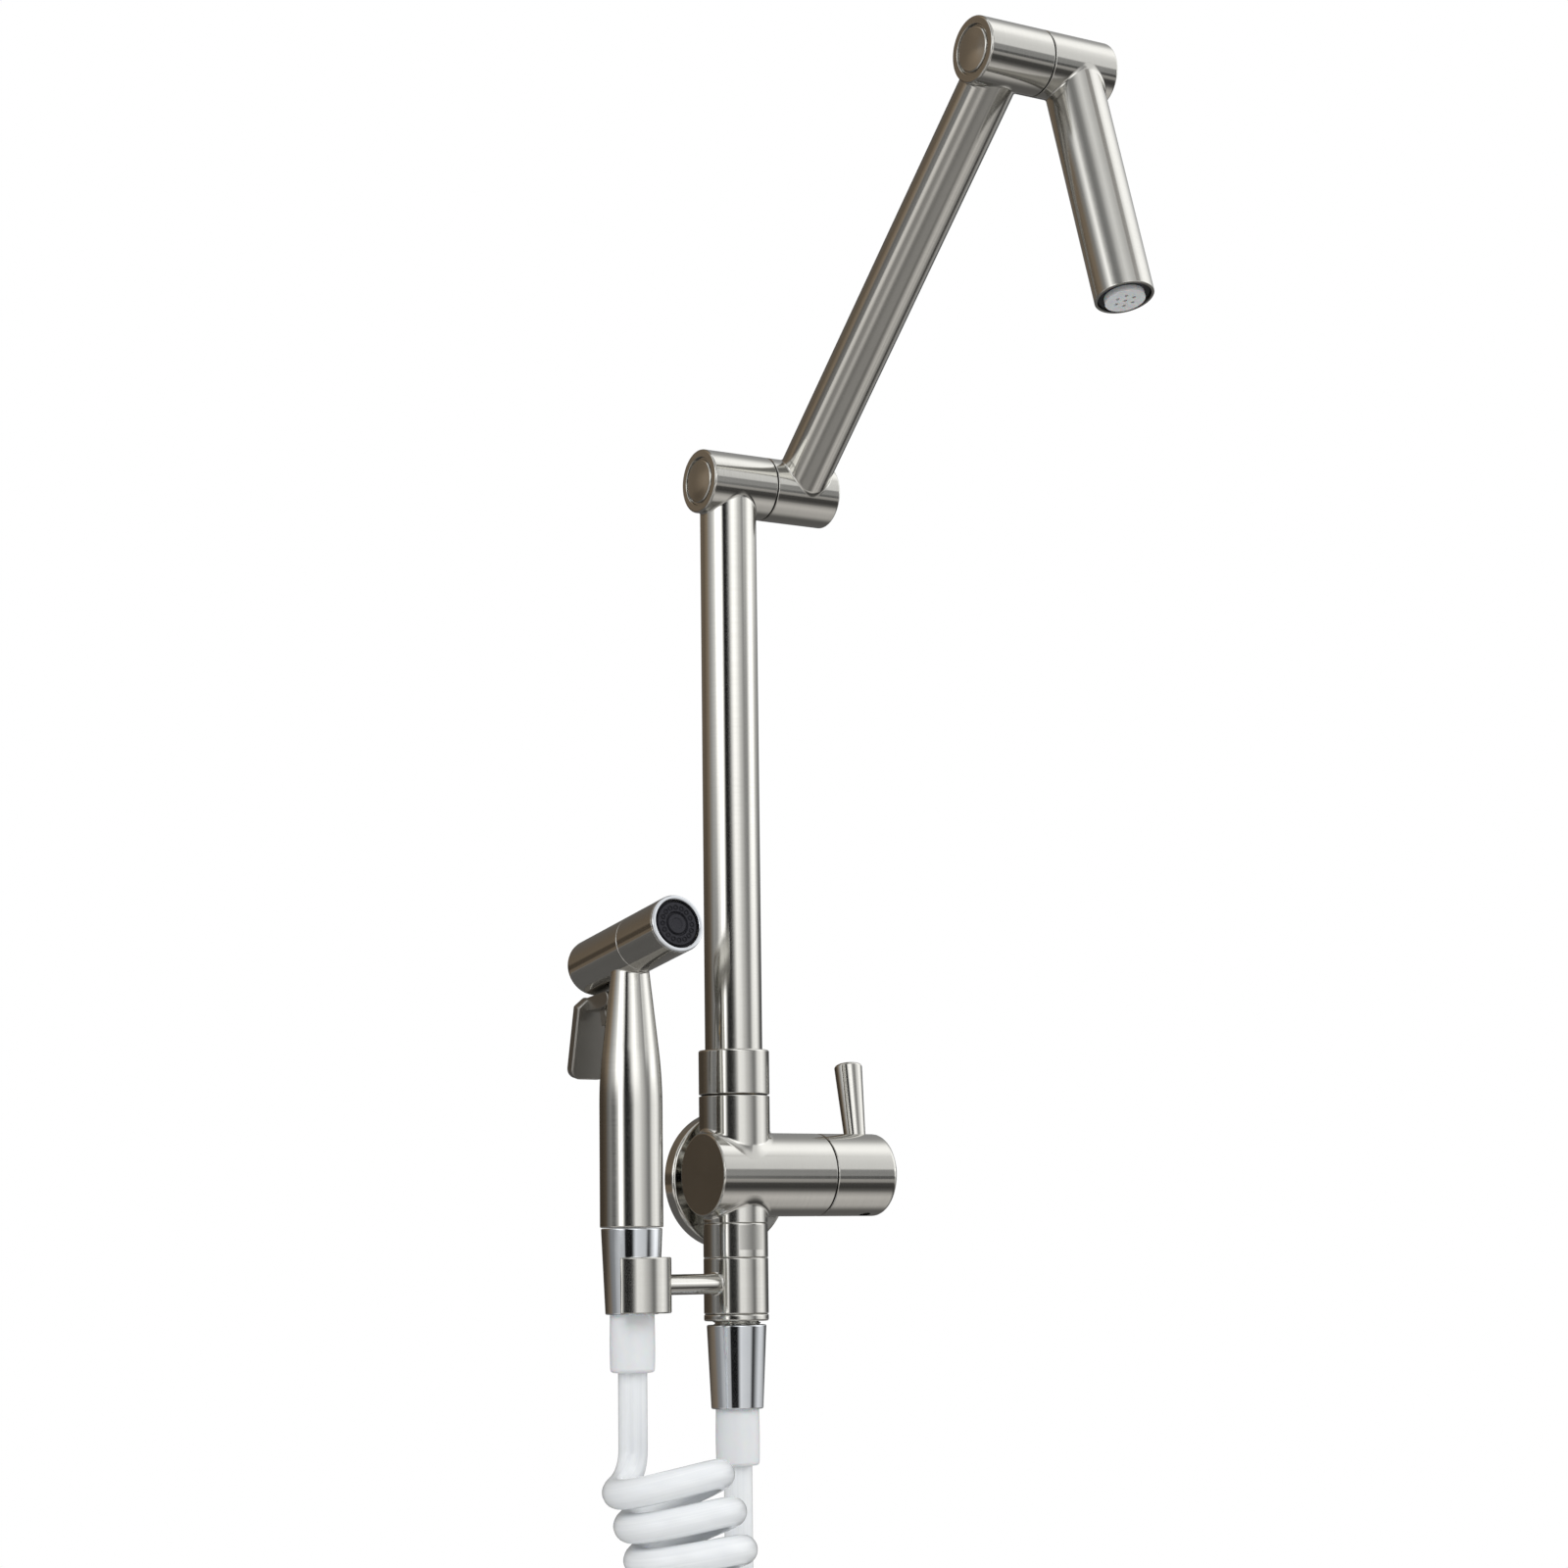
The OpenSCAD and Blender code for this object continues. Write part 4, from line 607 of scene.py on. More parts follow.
cap = turned("handle_cap_turned", along_body, [
    (0, cap_high.x, 0), (body_r, cap_high.x, cap_end_round), (body_r, cap_low.x, 0.4 * mm),
    (body_r - cap_wall, cap_low.x, 0.3 * mm), (body_r - cap_wall, cap_solid_x, 0), (stem_r, cap_solid_x, 0),
    (stem_r, stem_end_x, 0), (0, stem_end_x, 0),
])
lever_foot = Vector((lever_x, valve_axis.y, valve_axis.z))
grub_way = Matrix.Rotation(math.pi - lever_back, 3, "X") @ up
drill(cap, placed(lever_foot, grub_way), grub_r, 2 * body_r)
plated(cap, "handle", "handle_cap")
lever_way = Matrix.Rotation(-lever_back, 3, "X") @ Matrix.Rotation(lever_out, 3, "Y") @ up
lever_tip = body_r + lever_len
lever_sunk = body_r - lever_in_cap
lever = turned("handle_lever_turned", placed(lever_foot, lever_way), [
    (0, lever_sunk, 0), (lever_r, lever_sunk, 0), (lever_r, body_r, 0), (lever_tip_r, lever_tip, 1.2 * mm),
    *[
        (lever_tip_r * share, lever_tip + lever_dome * (1 - share**2), 0)
        for share in (0.75, 0.6, 0.45, 0.3, 0.15, 0)
    ],
])
plated(lever, "handle", "handle_lever")

# Riser
# A drawn brass tube, brushed round and plated. Its foot is brazed into a turned collar, which turns on a
# spigot in the body's neck, and its top is brazed into the elbow's left half with a thin bright fillet.
collar_low, collar_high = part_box("riser_collar")
tube_foot_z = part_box("riser_tube")[0].z
riser_r = half_width("riser_tube")
tube_wall = 1.2 * mm
spigot_r = 20.9 / 2 * mm
braze = 0.8 * mm
grub_hole = 3.1 / 2 * mm
grub_hole_z = 39.55 * mm
riser_line = placed((riser_x, riser_y, 0), (0, 0, 1))
collar = turned("riser_collar_turned", riser_line, [
    (spigot_r, tube_foot_z, 0), (spigot_r, collar_low.z, 0.2 * mm), (neck_r, collar_low.z, 0.4 * mm),
    (neck_r, collar_high.z, 0.8 * mm), (riser_r, collar_high.z, 0.3 * mm), (riser_r, tube_foot_z, 0),
    (spigot_r, tube_foot_z, 0),
])
drill(collar, placed((riser_x, riser_y, grub_hole_z), (0, 1, 0)), grub_hole, 2 * neck_r)
plated(collar, "riser", "riser_collar")
barrel_low, barrel_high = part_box("elbow_riser_housing")
barrel_r = (barrel_high.z - barrel_low.z) / 2
elbow_z = (barrel_high.z + barrel_low.z) / 2
elbow_top = Vector((riser_x, riser_y, elbow_z))
riser = brazed(
    "riser_tube_drawn", placed(elbow_top, (0, 0, -1)), riser_r, riser_r - tube_wall, barrel_r, braze,
    elbow_z - tube_foot_z,
)
plated(riser, "riser", "riser_tube")

# Elbow and wrist
# Two barrel joints, each of two turned halves that meet at a fine seam. A brass spindle, screwed into the
# right half, turns in the left one under a domed end cap, with room for a circlip. The halves are brushed
# with the tubes that they carry.
seam_half = 0.35 * mm
barrel_half = 33.2 * mm
seam_to_tube = 18 * mm
cap_r = 21.2 / 2 * mm
cap_t = 2.2 * mm
cap_dome = 0.8 * mm
cap_disc_r = 19.6 / 2 * mm
cap_disc_round = 0.8 * mm
cap_step = 1 * mm
cap_gap = 0.3 * mm
cap_flat = cap_disc_r - cap_disc_round
clip_room_r = 19.8 / 2 * mm
clip_room = 3 * mm
spindle_r = 18.1 / 2 * mm
shank_r = 16.1 / 2 * mm
shank_len = 10.65 * mm
spindle_bore = 5 * mm
slip = 0.1 * mm
left_end = -barrel_half
ledge = left_end + cap_t + cap_gap
elbow_seam = Vector((riser_x + seam_to_tube, riser_y, elbow_z))
wrist_low, wrist_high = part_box("wrist_arm_housing")
wrist_seam = (wrist_low + wrist_high) / 2
wrist_seam.x = wrist_high.x + seam_half
for joint, seam, left, right, tube_way in (
    ("elbow", elbow_seam, "riser", "arm", up), ("wrist", wrist_seam, "arm", "spout", -up),
):
    # The sheet of each half meets on the side of its tube
    left_place = placed(seam, (1, 0, 0), -tube_way)
    right_place = placed(seam, (1, 0, 0), tube_way)
    left_half = turned(f"{joint}_{left}_half", left_place, [
        (spindle_r, ledge + clip_room, 0), (spindle_r, -seam_half, 0.2 * mm),
        (barrel_r, -seam_half, 0.35 * mm), (barrel_r, left_end, 0.9 * mm), (cap_r + slip, left_end, 0.3 * mm),
        (cap_r + slip, ledge, 0), (clip_room_r, ledge, 0), (clip_room_r, ledge + clip_room, 0),
        (spindle_r, ledge + clip_room, 0),
    ])
    plated(left_half, left, f"{joint}_{left}_housing")
    end_cap = turned(f"{joint}_cap_domed", left_place, [
        (0, left_end + cap_t, 0), (cap_r, left_end + cap_t, 0), (cap_r, left_end + cap_step, 0.1 * mm),
        (cap_disc_r, left_end + cap_step, 0), (cap_disc_r, left_end, cap_disc_round),
        *[
            (cap_flat * share, left_end - cap_dome * (1 - share**2), 0)
            for share in (0.85, 0.65, 0.45, 0.25, 0)
        ],
    ])
    plated(end_cap, left, f"{joint}_end_cap")
    right_half = turned(f"{joint}_{right}_half", right_place, [
        (0, barrel_half, 0), (barrel_r, barrel_half, 0.9 * mm), (barrel_r, seam_half, 0.35 * mm),
        (shank_r, seam_half, 0.2 * mm), (shank_r, shank_len, 0), (spindle_bore, shank_len, 0),
        (spindle_bore, seam_to_tube, 0), (0, seam_to_tube, 0),
    ])
    plated(right_half, right, f"{joint}_{right}_housing")
finish_nodes(brass, "elbow_spindle", "wrist_spindle")

# Arm
# A drawn brass tube that leans out from the elbow and carries the wrist. Each end is brazed into a barrel.
arm_way = wrist_seam - elbow_seam
arm_way.x = 0
arm_len = arm_way.length
arm_way.normalize()
arm_r = half_width("arm_tube")
arm_foot = elbow_seam + Vector((seam_to_tube, 0, 0))
arm = brazed(
    "arm_tube_drawn", placed(arm_foot, arm_way), arm_r, arm_r - tube_wall, barrel_r, braze, (arm_len, braze)
)
plated(arm, "arm", "arm_tube")

# Spout
# The last tube, brazed into the wrist's right half. Its mouth is cut square and holds the aerator: a steel
# shell with a milky insert that stands out a little.
spout_foot = wrist_seam + Vector((seam_to_tube, 0, 0))
spout_way = middle("spout_tube") - spout_foot
spout_way.x = 0
spout_way.normalize()
spout_r = half_width("spout_tube")
spout_len = 112.4 * mm
spout = brazed(
    "spout_tube_drawn", placed(spout_foot, spout_way), spout_r, spout_r - tube_wall, barrel_r, braze,
    spout_len,
)
plated(spout, "spout", "spout_tube")
# Polyethylene, moulded: cloudy grey-white, satin, a little light passes through.
lets_light_in = {"Subsurface Weight": 0.3, "Subsurface Scale": 2 * mm}
insert_plastic = inner_finish(
    "polyethylene_moulded_milky", "D3D5D6", "C6C9CB", 0, (0.3, 0.45), 0.4 * mm, 0.06, lets_light_in
)
# Stainless steel, satin, with a dark grey base colour that is painted shade for the shadowed mouth of the
# spout.
shade_darkened_steel = inner_finish(
    "stainless_steel_painted_shade_dark", "55575A", "47494C", 1, (0.3, 0.45), 0.4 * mm, 0.12
)
# The aerator's shell gets the dark steel, whose colour is painted shade.
finish_nodes(shade_darkened_steel, "aerator_housing")
finish_nodes(insert_plastic, "aerator_insert")

# Outlet adaptor
# A turned brass piece that screws up into the body. Two flats are milled across its head for a spanner, and
# its long thread below carries the holder, the lock ring and the hose.
adaptor_low, adaptor_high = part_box("outlet_adaptor")
tight_seam = 0.03 * mm
head_foot_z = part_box("holder_sleeve")[1].z + tight_seam
head_top_z = body_low.z - tight_seam
shank_r_out = 16.8 / 2 * mm
adaptor_bore = 5.5 * mm
flats = 25.2 / 2 * mm
flat_top_z = head_top_z - 1 * mm
flat_foot_z = flat_top_z - 10.5 * mm


def block(low, high):
    """A box between two corners, to cut with"""
    bpy.ops.object.select_all(action="DESELECT")
    bpy.ops.mesh.primitive_cube_add(size=1)
    box = bpy.context.object
    size = Vector(high) - Vector(low)
    box.data.transform(Matrix.Translation((Vector(low) + Vector(high)) / 2) @ Matrix.Diagonal((*size, 1)))
    return box


def bevelled(piece, width, steps=3, smooth_bevels=math.radians(40)):
    """Rounds a piece's sharp edges"""
    pick(piece)
    edges = piece.modifiers.new("edges", "BEVEL")
    edges.width = width
    edges.segments = steps
    edges.limit_method = "ANGLE"
    edges.angle_limit = smooth_below
    bpy.ops.object.modifier_apply(modifier=edges.name)
    bpy.ops.object.shade_smooth_by_angle(angle=smooth_bevels)
    return piece


adaptor = turned("outlet_adaptor_head", riser_line, [
    (adaptor_bore, head_foot_z, 0), (stack_r, head_foot_z, 0.5 * mm), (stack_r, head_top_z, 0.5 * mm),
    (shank_r_out, head_top_z, 0), (shank_r_out, adaptor_high.z, 0), (adaptor_bore, adaptor_high.z, 0),
    (adaptor_bore, head_foot_z, 0),
])
for side in (-1, 1):
    near, far = sorted((riser_y + side * flats, riser_y + side * 2 * stack_r))
    cut(adaptor, block((riser_x - 2 * stack_r, near, flat_foot_z), (riser_x + 2 * stack_r, far, flat_top_z)))
thread = threaded("outlet_thread", riser_line, thread_r, adaptor_bore, adaptor_low.z, head_foot_z)
adaptor = joined(adaptor, thread)
plated(adaptor, "base", "outlet_adaptor")

# Spray holder
# A sleeve on the adaptor's thread, clamped by a lock ring, with a short pin brazed to it that carries an open
# ring. The hose's conical nut drops into the ring like a cork.
clip_low, clip_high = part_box("holder_clip")
spray_axis = middle("face_ring")
spray_axis.x, spray_axis.y = middle("spray_hose_ferrule").xy
spray_axis.z = 0
pin_r = 8.7 / 2 * mm
pin_z = (clip_low.z + clip_high.z) / 2
weld = 0.9 * mm
for node, edge in (("holder_sleeve", 0.5 * mm), ("holder_lock_ring", 0.8 * mm)):
    low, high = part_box(node)
    ring = turned(node + "_turned", riser_line, [
        (thread_r, low.z, 0), (stack_r, low.z, edge), (stack_r, high.z, edge), (thread_r, high.z, 0),
        (thread_r, low.z, 0),
    ])
    plated(ring, "base", node)
holder_way = spray_axis - Vector((riser_x, riser_y, 0))
holder_reach = holder_way.length
holder_way.normalize()
nut_top_r = 25.8 / 2 * mm
nut_foot_r = 22.4 / 2 * mm
nut_len = 35.7 * mm
spray_nut_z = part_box("spray_hose_nut")[1].z
clip_gap = 0.3 * mm
clip_wall = 3.9 * mm
clip_open = math.radians(118)
clip_open_at = math.radians(163)
clip_points = 73


def nut_radius(z):
    """The hose nut's radius at a height, which the open ring's bore follows"""
    return nut_top_r - (nut_top_r - nut_foot_r) * (spray_nut_z - z) / nut_len


def open_ring(z, outer):
    """A row of the open ring's outline: round the outside from jaw to jaw and back round the inside"""
    inner = nut_radius(z) + clip_gap
    sweep = np.linspace(clip_open / 2, 2 * math.pi - clip_open / 2, clip_points) + clip_open_at
    outline = [
        (radius * math.cos(a) + spray_axis.x, radius * math.sin(a) + spray_axis.y, z)
        for radius, way in ((outer, 1), (inner, -1)) for a in sweep[::way]
    ]
    return outline + outline[:1]


clip_outer = nut_radius(clip_high.z) + clip_gap + clip_wall
clip = skin("holder_open_ring", [open_ring(clip_low.z, clip_outer), open_ring(clip_high.z, clip_outer)])
bevelled(clip, 0.6 * mm)
plated(clip, "base", "holder_clip")
pin_place = placed((riser_x, riser_y, pin_z), holder_way, up)
near_end = saddle(pin_r, stack_r, weld)
far_end = saddle(pin_r, clip_outer, 0.3 * mm)
far_end[:, :, 2] = holder_reach - far_end[:, :, 2]
pin = skin("holder_pin_brazed", np.concatenate([far_end[::-1], near_end]), pin_place)
plated(pin, "base", "holder_pin")

# Hose nuts and ferrules
# The conical nuts are pressed brass, polished and chromed. They screw onto the adaptor and the hand spray and
# hold the ferrules, which are moulded round the hose's ends with a rubber washer on top.
# Chrome on brass, polished before it was plated: a cold mirror, with a trace of haze from handling.
chrome, tree, shader = new_material("chrome_plate_polished")
haze, tone = two_toned(tree, "E6E9EC", "DBDFE4", 1 / (9 * mm), 3)
gloss = add(tree, "MapRange", {"To Min": 0.04, "To Max": 0.11}, {"Value": haze})
wave = add(tree, "Bump", {"Strength": 0.03, "Distance": 0.1 * mm}, {"Height": haze})
wire(tree, shader, {"Metallic": 1}, {"Base Color": tone, "Roughness": gloss, "Normal": wave})
# Nylon, injection moulded round the hose: milky white satin, light goes a little way in.
milky_nylon = inner_finish(
    "nylon_moulded_milky_white", "E4E6E8", "DBDEE1", 0, (0.32, 0.44), 0.5 * mm, 0.06, lets_light_in
)
nut_room = 17.5 * mm
nut_seat = 15 * mm
ferrule_r = 18.6 / 2 * mm
ferrule_head_r = 20.2 / 2 * mm
ferrule_head = 2.2 * mm
ferrule_drop = 24 * mm
ferrule_bulge = 0.2 * mm
hose_r = hose_d / 2
for end, body_name in (("outlet", "base"), ("spray", "hand_spray")):
    nut_top = middle(end + "_hose_nut")
    nut_top.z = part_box(end + "_hose_nut")[1].z
    nut_place = placed(nut_top, (0, 0, 1))
    nut = turned(end + "_nut_chromed", nut_place, [
        (thread_r, -nut_room, 0), (thread_r, 0, 0), (nut_top_r, 0, 0.6 * mm),
        (nut_foot_r, -nut_len, 0.6 * mm), (ferrule_r + slip, -nut_len, 0.2 * mm),
        (ferrule_r + slip, -nut_room, 0), (thread_r, -nut_room, 0),
    ])
    dress(nut, chrome, body_name, "chrome", end + "_hose_nut")
    foot = -nut_len - ferrule_drop
    bulge = [
        (ferrule_r + ferrule_bulge * math.sin(math.pi * share), -nut_len - ferrule_drop * share, 0)
        for share in (0.1, 0.2, 0.3, 0.4, 0.5, 0.6, 0.7, 0.8)
    ]
    ferrule = turned(end + "_ferrule_moulded", nut_place, [
        (0, -nut_seat, 0), (ferrule_head_r, -nut_seat, 0), (ferrule_head_r, -nut_seat - ferrule_head, 0),
        (ferrule_r, -nut_seat - ferrule_head, 0), *bulge, (ferrule_r, foot, 1.6 * mm),
        (hose_r, foot, 0.3 * mm), (hose_r, foot + hose_sunk, 0), (0, foot + hose_sunk, 0),
    ])
    dress(ferrule, milky_nylon, body_name, "ferrule_plastic", end + "_hose_ferrule")
finish_nodes(seal_rubber, "outlet_hose_washer", "spray_hose_washer")

# Hand spray handle
# A turned brass handle: a straight grip, a long taper and a narrow top that runs into the head. A lug
# behind it carries the trigger. All of it is brushed round and plated.
core_middle = middle("spray_core")
core_way = middle("face_ring") - core_middle
head_tilt = math.atan2(core_way.z, -core_way.y)
head_way = core_way.normalized()
head = spray_axis.copy()
head.z = core_middle.z - math.tan(head_tilt) * (spray_axis.y - core_middle.y)
grip_r = 26.6 / 2 * mm
grip_len = 62.5 * mm
taper_len = 44.6 * mm
taper_top_r = 16.4 / 2 * mm
spray_foot_z = -22.7 * mm
head_r = 24.5 / 2 * mm
lug_r = 3.2 * mm
lug_half = 2 * mm
grip_end = head.z - (spray_foot_z + grip_len)
taper = (grip_r - taper_top_r) / taper_len
neck_at_axis = grip_r - taper * grip_end
neck_braze = 0.5 * mm
grip_foot = head.z - spray_foot_z
neck = saddle(neck_at_axis, head_r, neck_braze, -head_tilt, taper)
taper_round = 200 * mm
grip = circles(rounded([
    (0, grip_foot, 0), (grip_r, grip_foot, 0.5 * mm), (grip_r, grip_end, taper_round), (neck_at_axis, 0, 0),
])[:-1])
handle = skin("spray_handle_turned", np.concatenate([grip, neck]), placed(head, -up, (0, -1, 0)))


def arc(centre, radius, start, end, steps=8):
    """Points of an arc between two angles in degrees"""
    turns = [math.radians(start + (end - start) * i / steps) for i in range(steps + 1)]
    return [(centre[0] + radius * math.cos(a), centre[1] + radius * math.sin(a)) for a in turns]


def sawn(name, outline, half, edge):
    """A solid cut to an outline in the plane across the handle, with its edges rounded"""
    rows = [
        [(spray_axis.x + side * half, spray_axis.y + y, z) for y, z in [*outline, outline[0]]]
        for side in (-1, 1)
    ]
    return bevelled(skin(name, rows), edge)


pin_middle = middle("trigger_pin")
pivot = (pin_middle.y - spray_axis.y, pin_middle.z)
lug_foot = 2 * mm
lug = sawn("lug", [
    *arc(pivot, lug_r, -90, 90), (lug_foot, pivot[1] + lug_r), (lug_foot, pivot[1] - lug_r),
], lug_half, 0.4 * mm)
handle = joined(handle, lug)
plated(handle, "hand_spray", "spray_handle")
finish_nodes(brass, "plunger_gland", "plunger")
finish_nodes(steel, "trigger_pin", "plunger_spring")
finish_nodes(acetal, "spray_core")

# Spray head
# Two drawn shells on a plastic core, with a fine seam between them in front of the handle. The rear one has a
# round end. A chromed rim holds the rubber spray plate in the front one.
front_z = 40 * mm
rear_z = -36 * mm
shell_seam = 9.5 * mm
shell_wall = 1.5 * mm
rear_round = 5 * mm
rim_depth = 1.5 * mm
rim_wall = 1.85 * mm
plate_recess = 0.5 * mm
plate_depth = 2.5 * mm
hairline = 0.05 * mm
along_head = placed(head, head_way, (0, 0, 1))
shell_bore = head_r - shell_wall
rear_shell = turned("spray_head_rear", along_head, [
    (0, rear_z, 0), (head_r, rear_z, rear_round), (head_r, shell_seam - hairline, 0.3 * mm),
    (shell_bore, shell_seam - hairline, 0), (shell_bore, rear_z + rear_round + shell_wall, 0),
    (shell_bore - rear_round, rear_z + 2 * shell_wall, 0), (0, rear_z + 2 * shell_wall, 0),
])
plated(rear_shell, "hand_spray", "head_rear_shell")
front_shell = turned("spray_head_front", along_head, [
    (shell_bore, front_z - rim_depth, 0), (shell_bore, shell_seam + hairline, 0),
    (head_r, shell_seam + hairline, 0.3 * mm), (head_r, front_z - rim_depth, 0.2 * mm),
    (shell_bore, front_z - rim_depth, 0),
])
plated(front_shell, "hand_spray", "head_front_shell")
rim_back = front_z - rim_depth + hairline
rim = turned("spray_rim_chromed", along_head, [
    (head_r - rim_wall, rim_back, 0), (head_r, rim_back, 0.15 * mm), (head_r, front_z, 0.6 * mm),
    (head_r - rim_wall, front_z, 0.5 * mm), (head_r - rim_wall, rim_back, 0),
])
dress(rim, chrome, "hand_spray", "chrome", "face_ring")

# Spray plate
# Moulded silicone rubber, dull black, with a ring of short soft nozzles that can be rubbed clean, a sunken
# ring and a dished middle.
plate_r_out = head_r - rim_wall - hairline
plate_top = front_z - plate_recess
plate_back = plate_top - plate_depth
plate_rebate = plate_top - 1.6 * mm
groove_foot = plate_top - 1.1 * mm
dish_foot = plate_top - 0.3 * mm
nub_ring_r = plate_r_out - 3.3 * mm
nub_count = 16
nub_foot = -1.8 * mm
nub_tip = 0.3 * mm
hole_foot = -1.6 * mm
silicone = inner_finish(
    "silicone_rubber_moulded_black", "2E2E33", "27272C", 0, (0.45, 0.6), 0.25 * mm, 0.15,
    {"Specular IOR Level": 0.2},
)
spray_plate = turned("spray_plate_rubber", along_head, [
    (0, plate_back, 0), (plate_r_out, plate_back, 0), (plate_r_out, plate_rebate, 0),
    (plate_r_out - 1 * mm, plate_rebate, 0), (plate_r_out - 1.2 * mm, plate_top, 0.3 * mm),
    (5.4 * mm, plate_top, 0.2 * mm), (5.1 * mm, groove_foot, 0.1 * mm), (4.4 * mm, groove_foot, 0.1 * mm),
    (4.1 * mm, plate_top, 0.3 * mm), (2.6 * mm, plate_top, 0.2 * mm), (2.3 * mm, dish_foot, 0.12 * mm),
    (0, dish_foot, 0),
])
nubs = []
for i in range(nub_count):
    at = 2 * math.pi * i / nub_count
    foot = along_head @ Vector((nub_ring_r * math.cos(at), nub_ring_r * math.sin(at), plate_top))
    nubs.append(turned("nub", placed(foot, head_way, (0, 0, 1)), [
        (0, nub_foot, 0), (1.05 * mm, nub_foot, 0), (1 * mm, nub_tip, 0.1 * mm),
        (0.8 * mm, nub_tip, 0.08 * mm), (0.75 * mm, hole_foot, 0), (0, hole_foot, 0),
    ]))
spray_plate = joined(spray_plate, *nubs)
dress(spray_plate, silicone, "hand_spray", "spray_rubber", "nozzle_plate")

# Trigger
# A cast zinc trigger, tumbled and plated: a flat blade whose fork hangs on a steel pin through the lug. Its
# nose pushes the plunger when it is squeezed towards the handle.
trigger_half = 17.6 / 2 * mm
trigger_t = 4.8 * mm
fork_half = 9 / 2 * mm
hub_r = 3.4 * mm
blade_lean = math.radians(12.5)
blade_len = 35 * mm
blade_corner = 3.9 * mm
foot_round = 4.5 * mm
fork_depth = 6 * mm
fork_foot = (pivot[0] + 3.5 * mm, pivot[1] - 4 * mm)
plunger_arm = 9 * mm
plunger_z = pivot[1] - plunger_arm
nose_y = 17 * mm
nose_h = 4 * mm
blade_top = Vector((0, pivot[0] + 18 * mm, pivot[1] + 2 * mm))
blade_down = Vector((0, math.sin(blade_lean), -math.cos(blade_lean)))
blade_in = Vector((0, -math.cos(blade_lean), -math.sin(blade_lean)))
foot_z = foot_round - blade_len
blade_outline = [
    (-trigger_half, -blade_corner), (-fork_half, 0), (fork_half, 0), (trigger_half, -blade_corner),
    *arc((trigger_half - foot_round, foot_z), foot_round, 0, -90),
    *arc((foot_round - trigger_half, foot_z), foot_round, -90, -180), (-trigger_half, -blade_corner),
]
blade_edge = 0.7 * mm
blade = bevelled(skin("trigger_cast", [
    [
        spray_axis + Vector((x, 0, 0)) + blade_top - height * blade_down + depth * blade_in
        for x, height in blade_outline
    ]
    for depth in (0, trigger_t)
]), blade_edge)
fork_top = blade_top + blade_in * trigger_t / 2
fork_low = fork_top + blade_down * fork_depth
fork = sawn("fork", [*arc(pivot, hub_r, 230, 90), fork_top.yz, fork_low.yz, fork_foot], fork_half, 0.5 * mm)
slot_half = lug_half + 0.3 * mm
cut(fork, block(
    (spray_axis.x - slot_half, spray_axis.y + pivot[0] - 2 * lug_r, pivot[1] - 2 * lug_r),
    (spray_axis.x + slot_half, spray_axis.y + pivot[0] + lug_r + 0.3 * mm, pivot[1] + 2 * lug_r),
))
nose = sawn("nose", [
    (nose_y, plunger_z - nose_h / 2), (nose_y, plunger_z + nose_h / 2), (fork_foot[0], fork_foot[1] + 1 * mm),
    (fork_foot[0] + 5 * mm, fork_foot[1] + 1 * mm), (nose_y + nose_h, plunger_z - nose_h / 2),
], lug_half, 0.3 * mm)
# Nickel on die-cast zinc that was tumbled before it was plated: darker and duller than the brushed brass.
tumbled = inner_finish("nickel_plate_on_tumbled_zinc", "A8A6A1", "9F9D98", 1, (0.3, 0.4), 0.5 * mm, 0.12)
trigger = joined(blade, fork, nose)
dress(trigger, tumbled, "trigger", "brushed_nickel", "trigger")

# Studio
# A pale floor under the hose, a large soft lamp above on the left, a weaker one on the right, and a white
# backdrop. In the metal the studio shows as a white room with long lamps, dark flags and a brown corner.
floor_z = cad_box[0].z - 2 * mm
floor_r = 0.95
floor_sides = 128
bpy.ops.object.select_all(action="DESELECT")
bpy.ops.mesh.primitive_circle_add(
    vertices=floor_sides, radius=floor_r, fill_type="NGON", location=(0, 0, floor_z)
)
floor = bpy.context.object
floor.name = "studio_floor"
floor.visible_glossy = False
paper, tree, shader = new_material("painted_paper_floor")
tone = two_toned(tree, "F4F4F3", "EEEEED", 1 / (2.5 * mm), 3)[1]
wire(tree, shader, {"Roughness": 0.9, "Specular IOR Level": 0.1}, {"Base Color": tone})
floor.data.materials.append(paper)


def soft_lamp(name, place, power):
    """A large square lamp that lights the object and doesn't show in the metal"""
    lamp = bpy.data.objects.new(name, bpy.data.lights.new(name, "AREA"))
    bpy.context.scene.collection.objects.link(lamp)
    lamp.data.shape = "SQUARE"
    lamp.data.size = lamp_side
    lamp.data.energy = power
    lamp.location = place
    lamp.rotation_mode = "QUATERNION"
    lamp.rotation_quaternion = (lamp_aim - Vector(place)).to_track_quat("-Z", "Y")
    lamp.visible_glossy = False


lamp_side = 1.4
lamp_aim = Vector((0, 0, 0.1))
soft_lamp("key_lamp", (-1.2, -1.4, 1.6), 26)
soft_lamp("fill_lamp", (1.6, -1.2, 0.9), 10)

# The room that the metal reflects: long upright lamps, white walls and dark flags round the object. Each
# list goes from behind the object by the left to the front and on by the right, as (degrees from the way to
# the camera, brightness). The lamps don't reach the ceiling, so the strips change with height. The far left
# corner is brown, and the floor and the ceiling are a little warm.
brown_corner = (-170, -90)
brown = 0.27
slightly_warm = 0.03
lamp = 2.1
surroundings = 0.62
nut_strips = [
    (-180, 0.12), (-130, 0.12), (-100, 0.17), (-84, 0.22), (-72, 0.28), (-63, 0.46), (-48, 0.6),
    (-38, 0.52), (-28, 0.5), (-25, 0.4), (-22, 0.01), (2, 0.01), (6, 0.1), (11, 0.45), (18, 0.82),
    (28, 0.74), (56, 0.64), (63, 0.38), (67, 0.05), (75, 0.07), (85, 0.38), (102, 0.8), (121, 0.7),
    (136, 0.5), (150, 0.4), (180, 0.12),
]
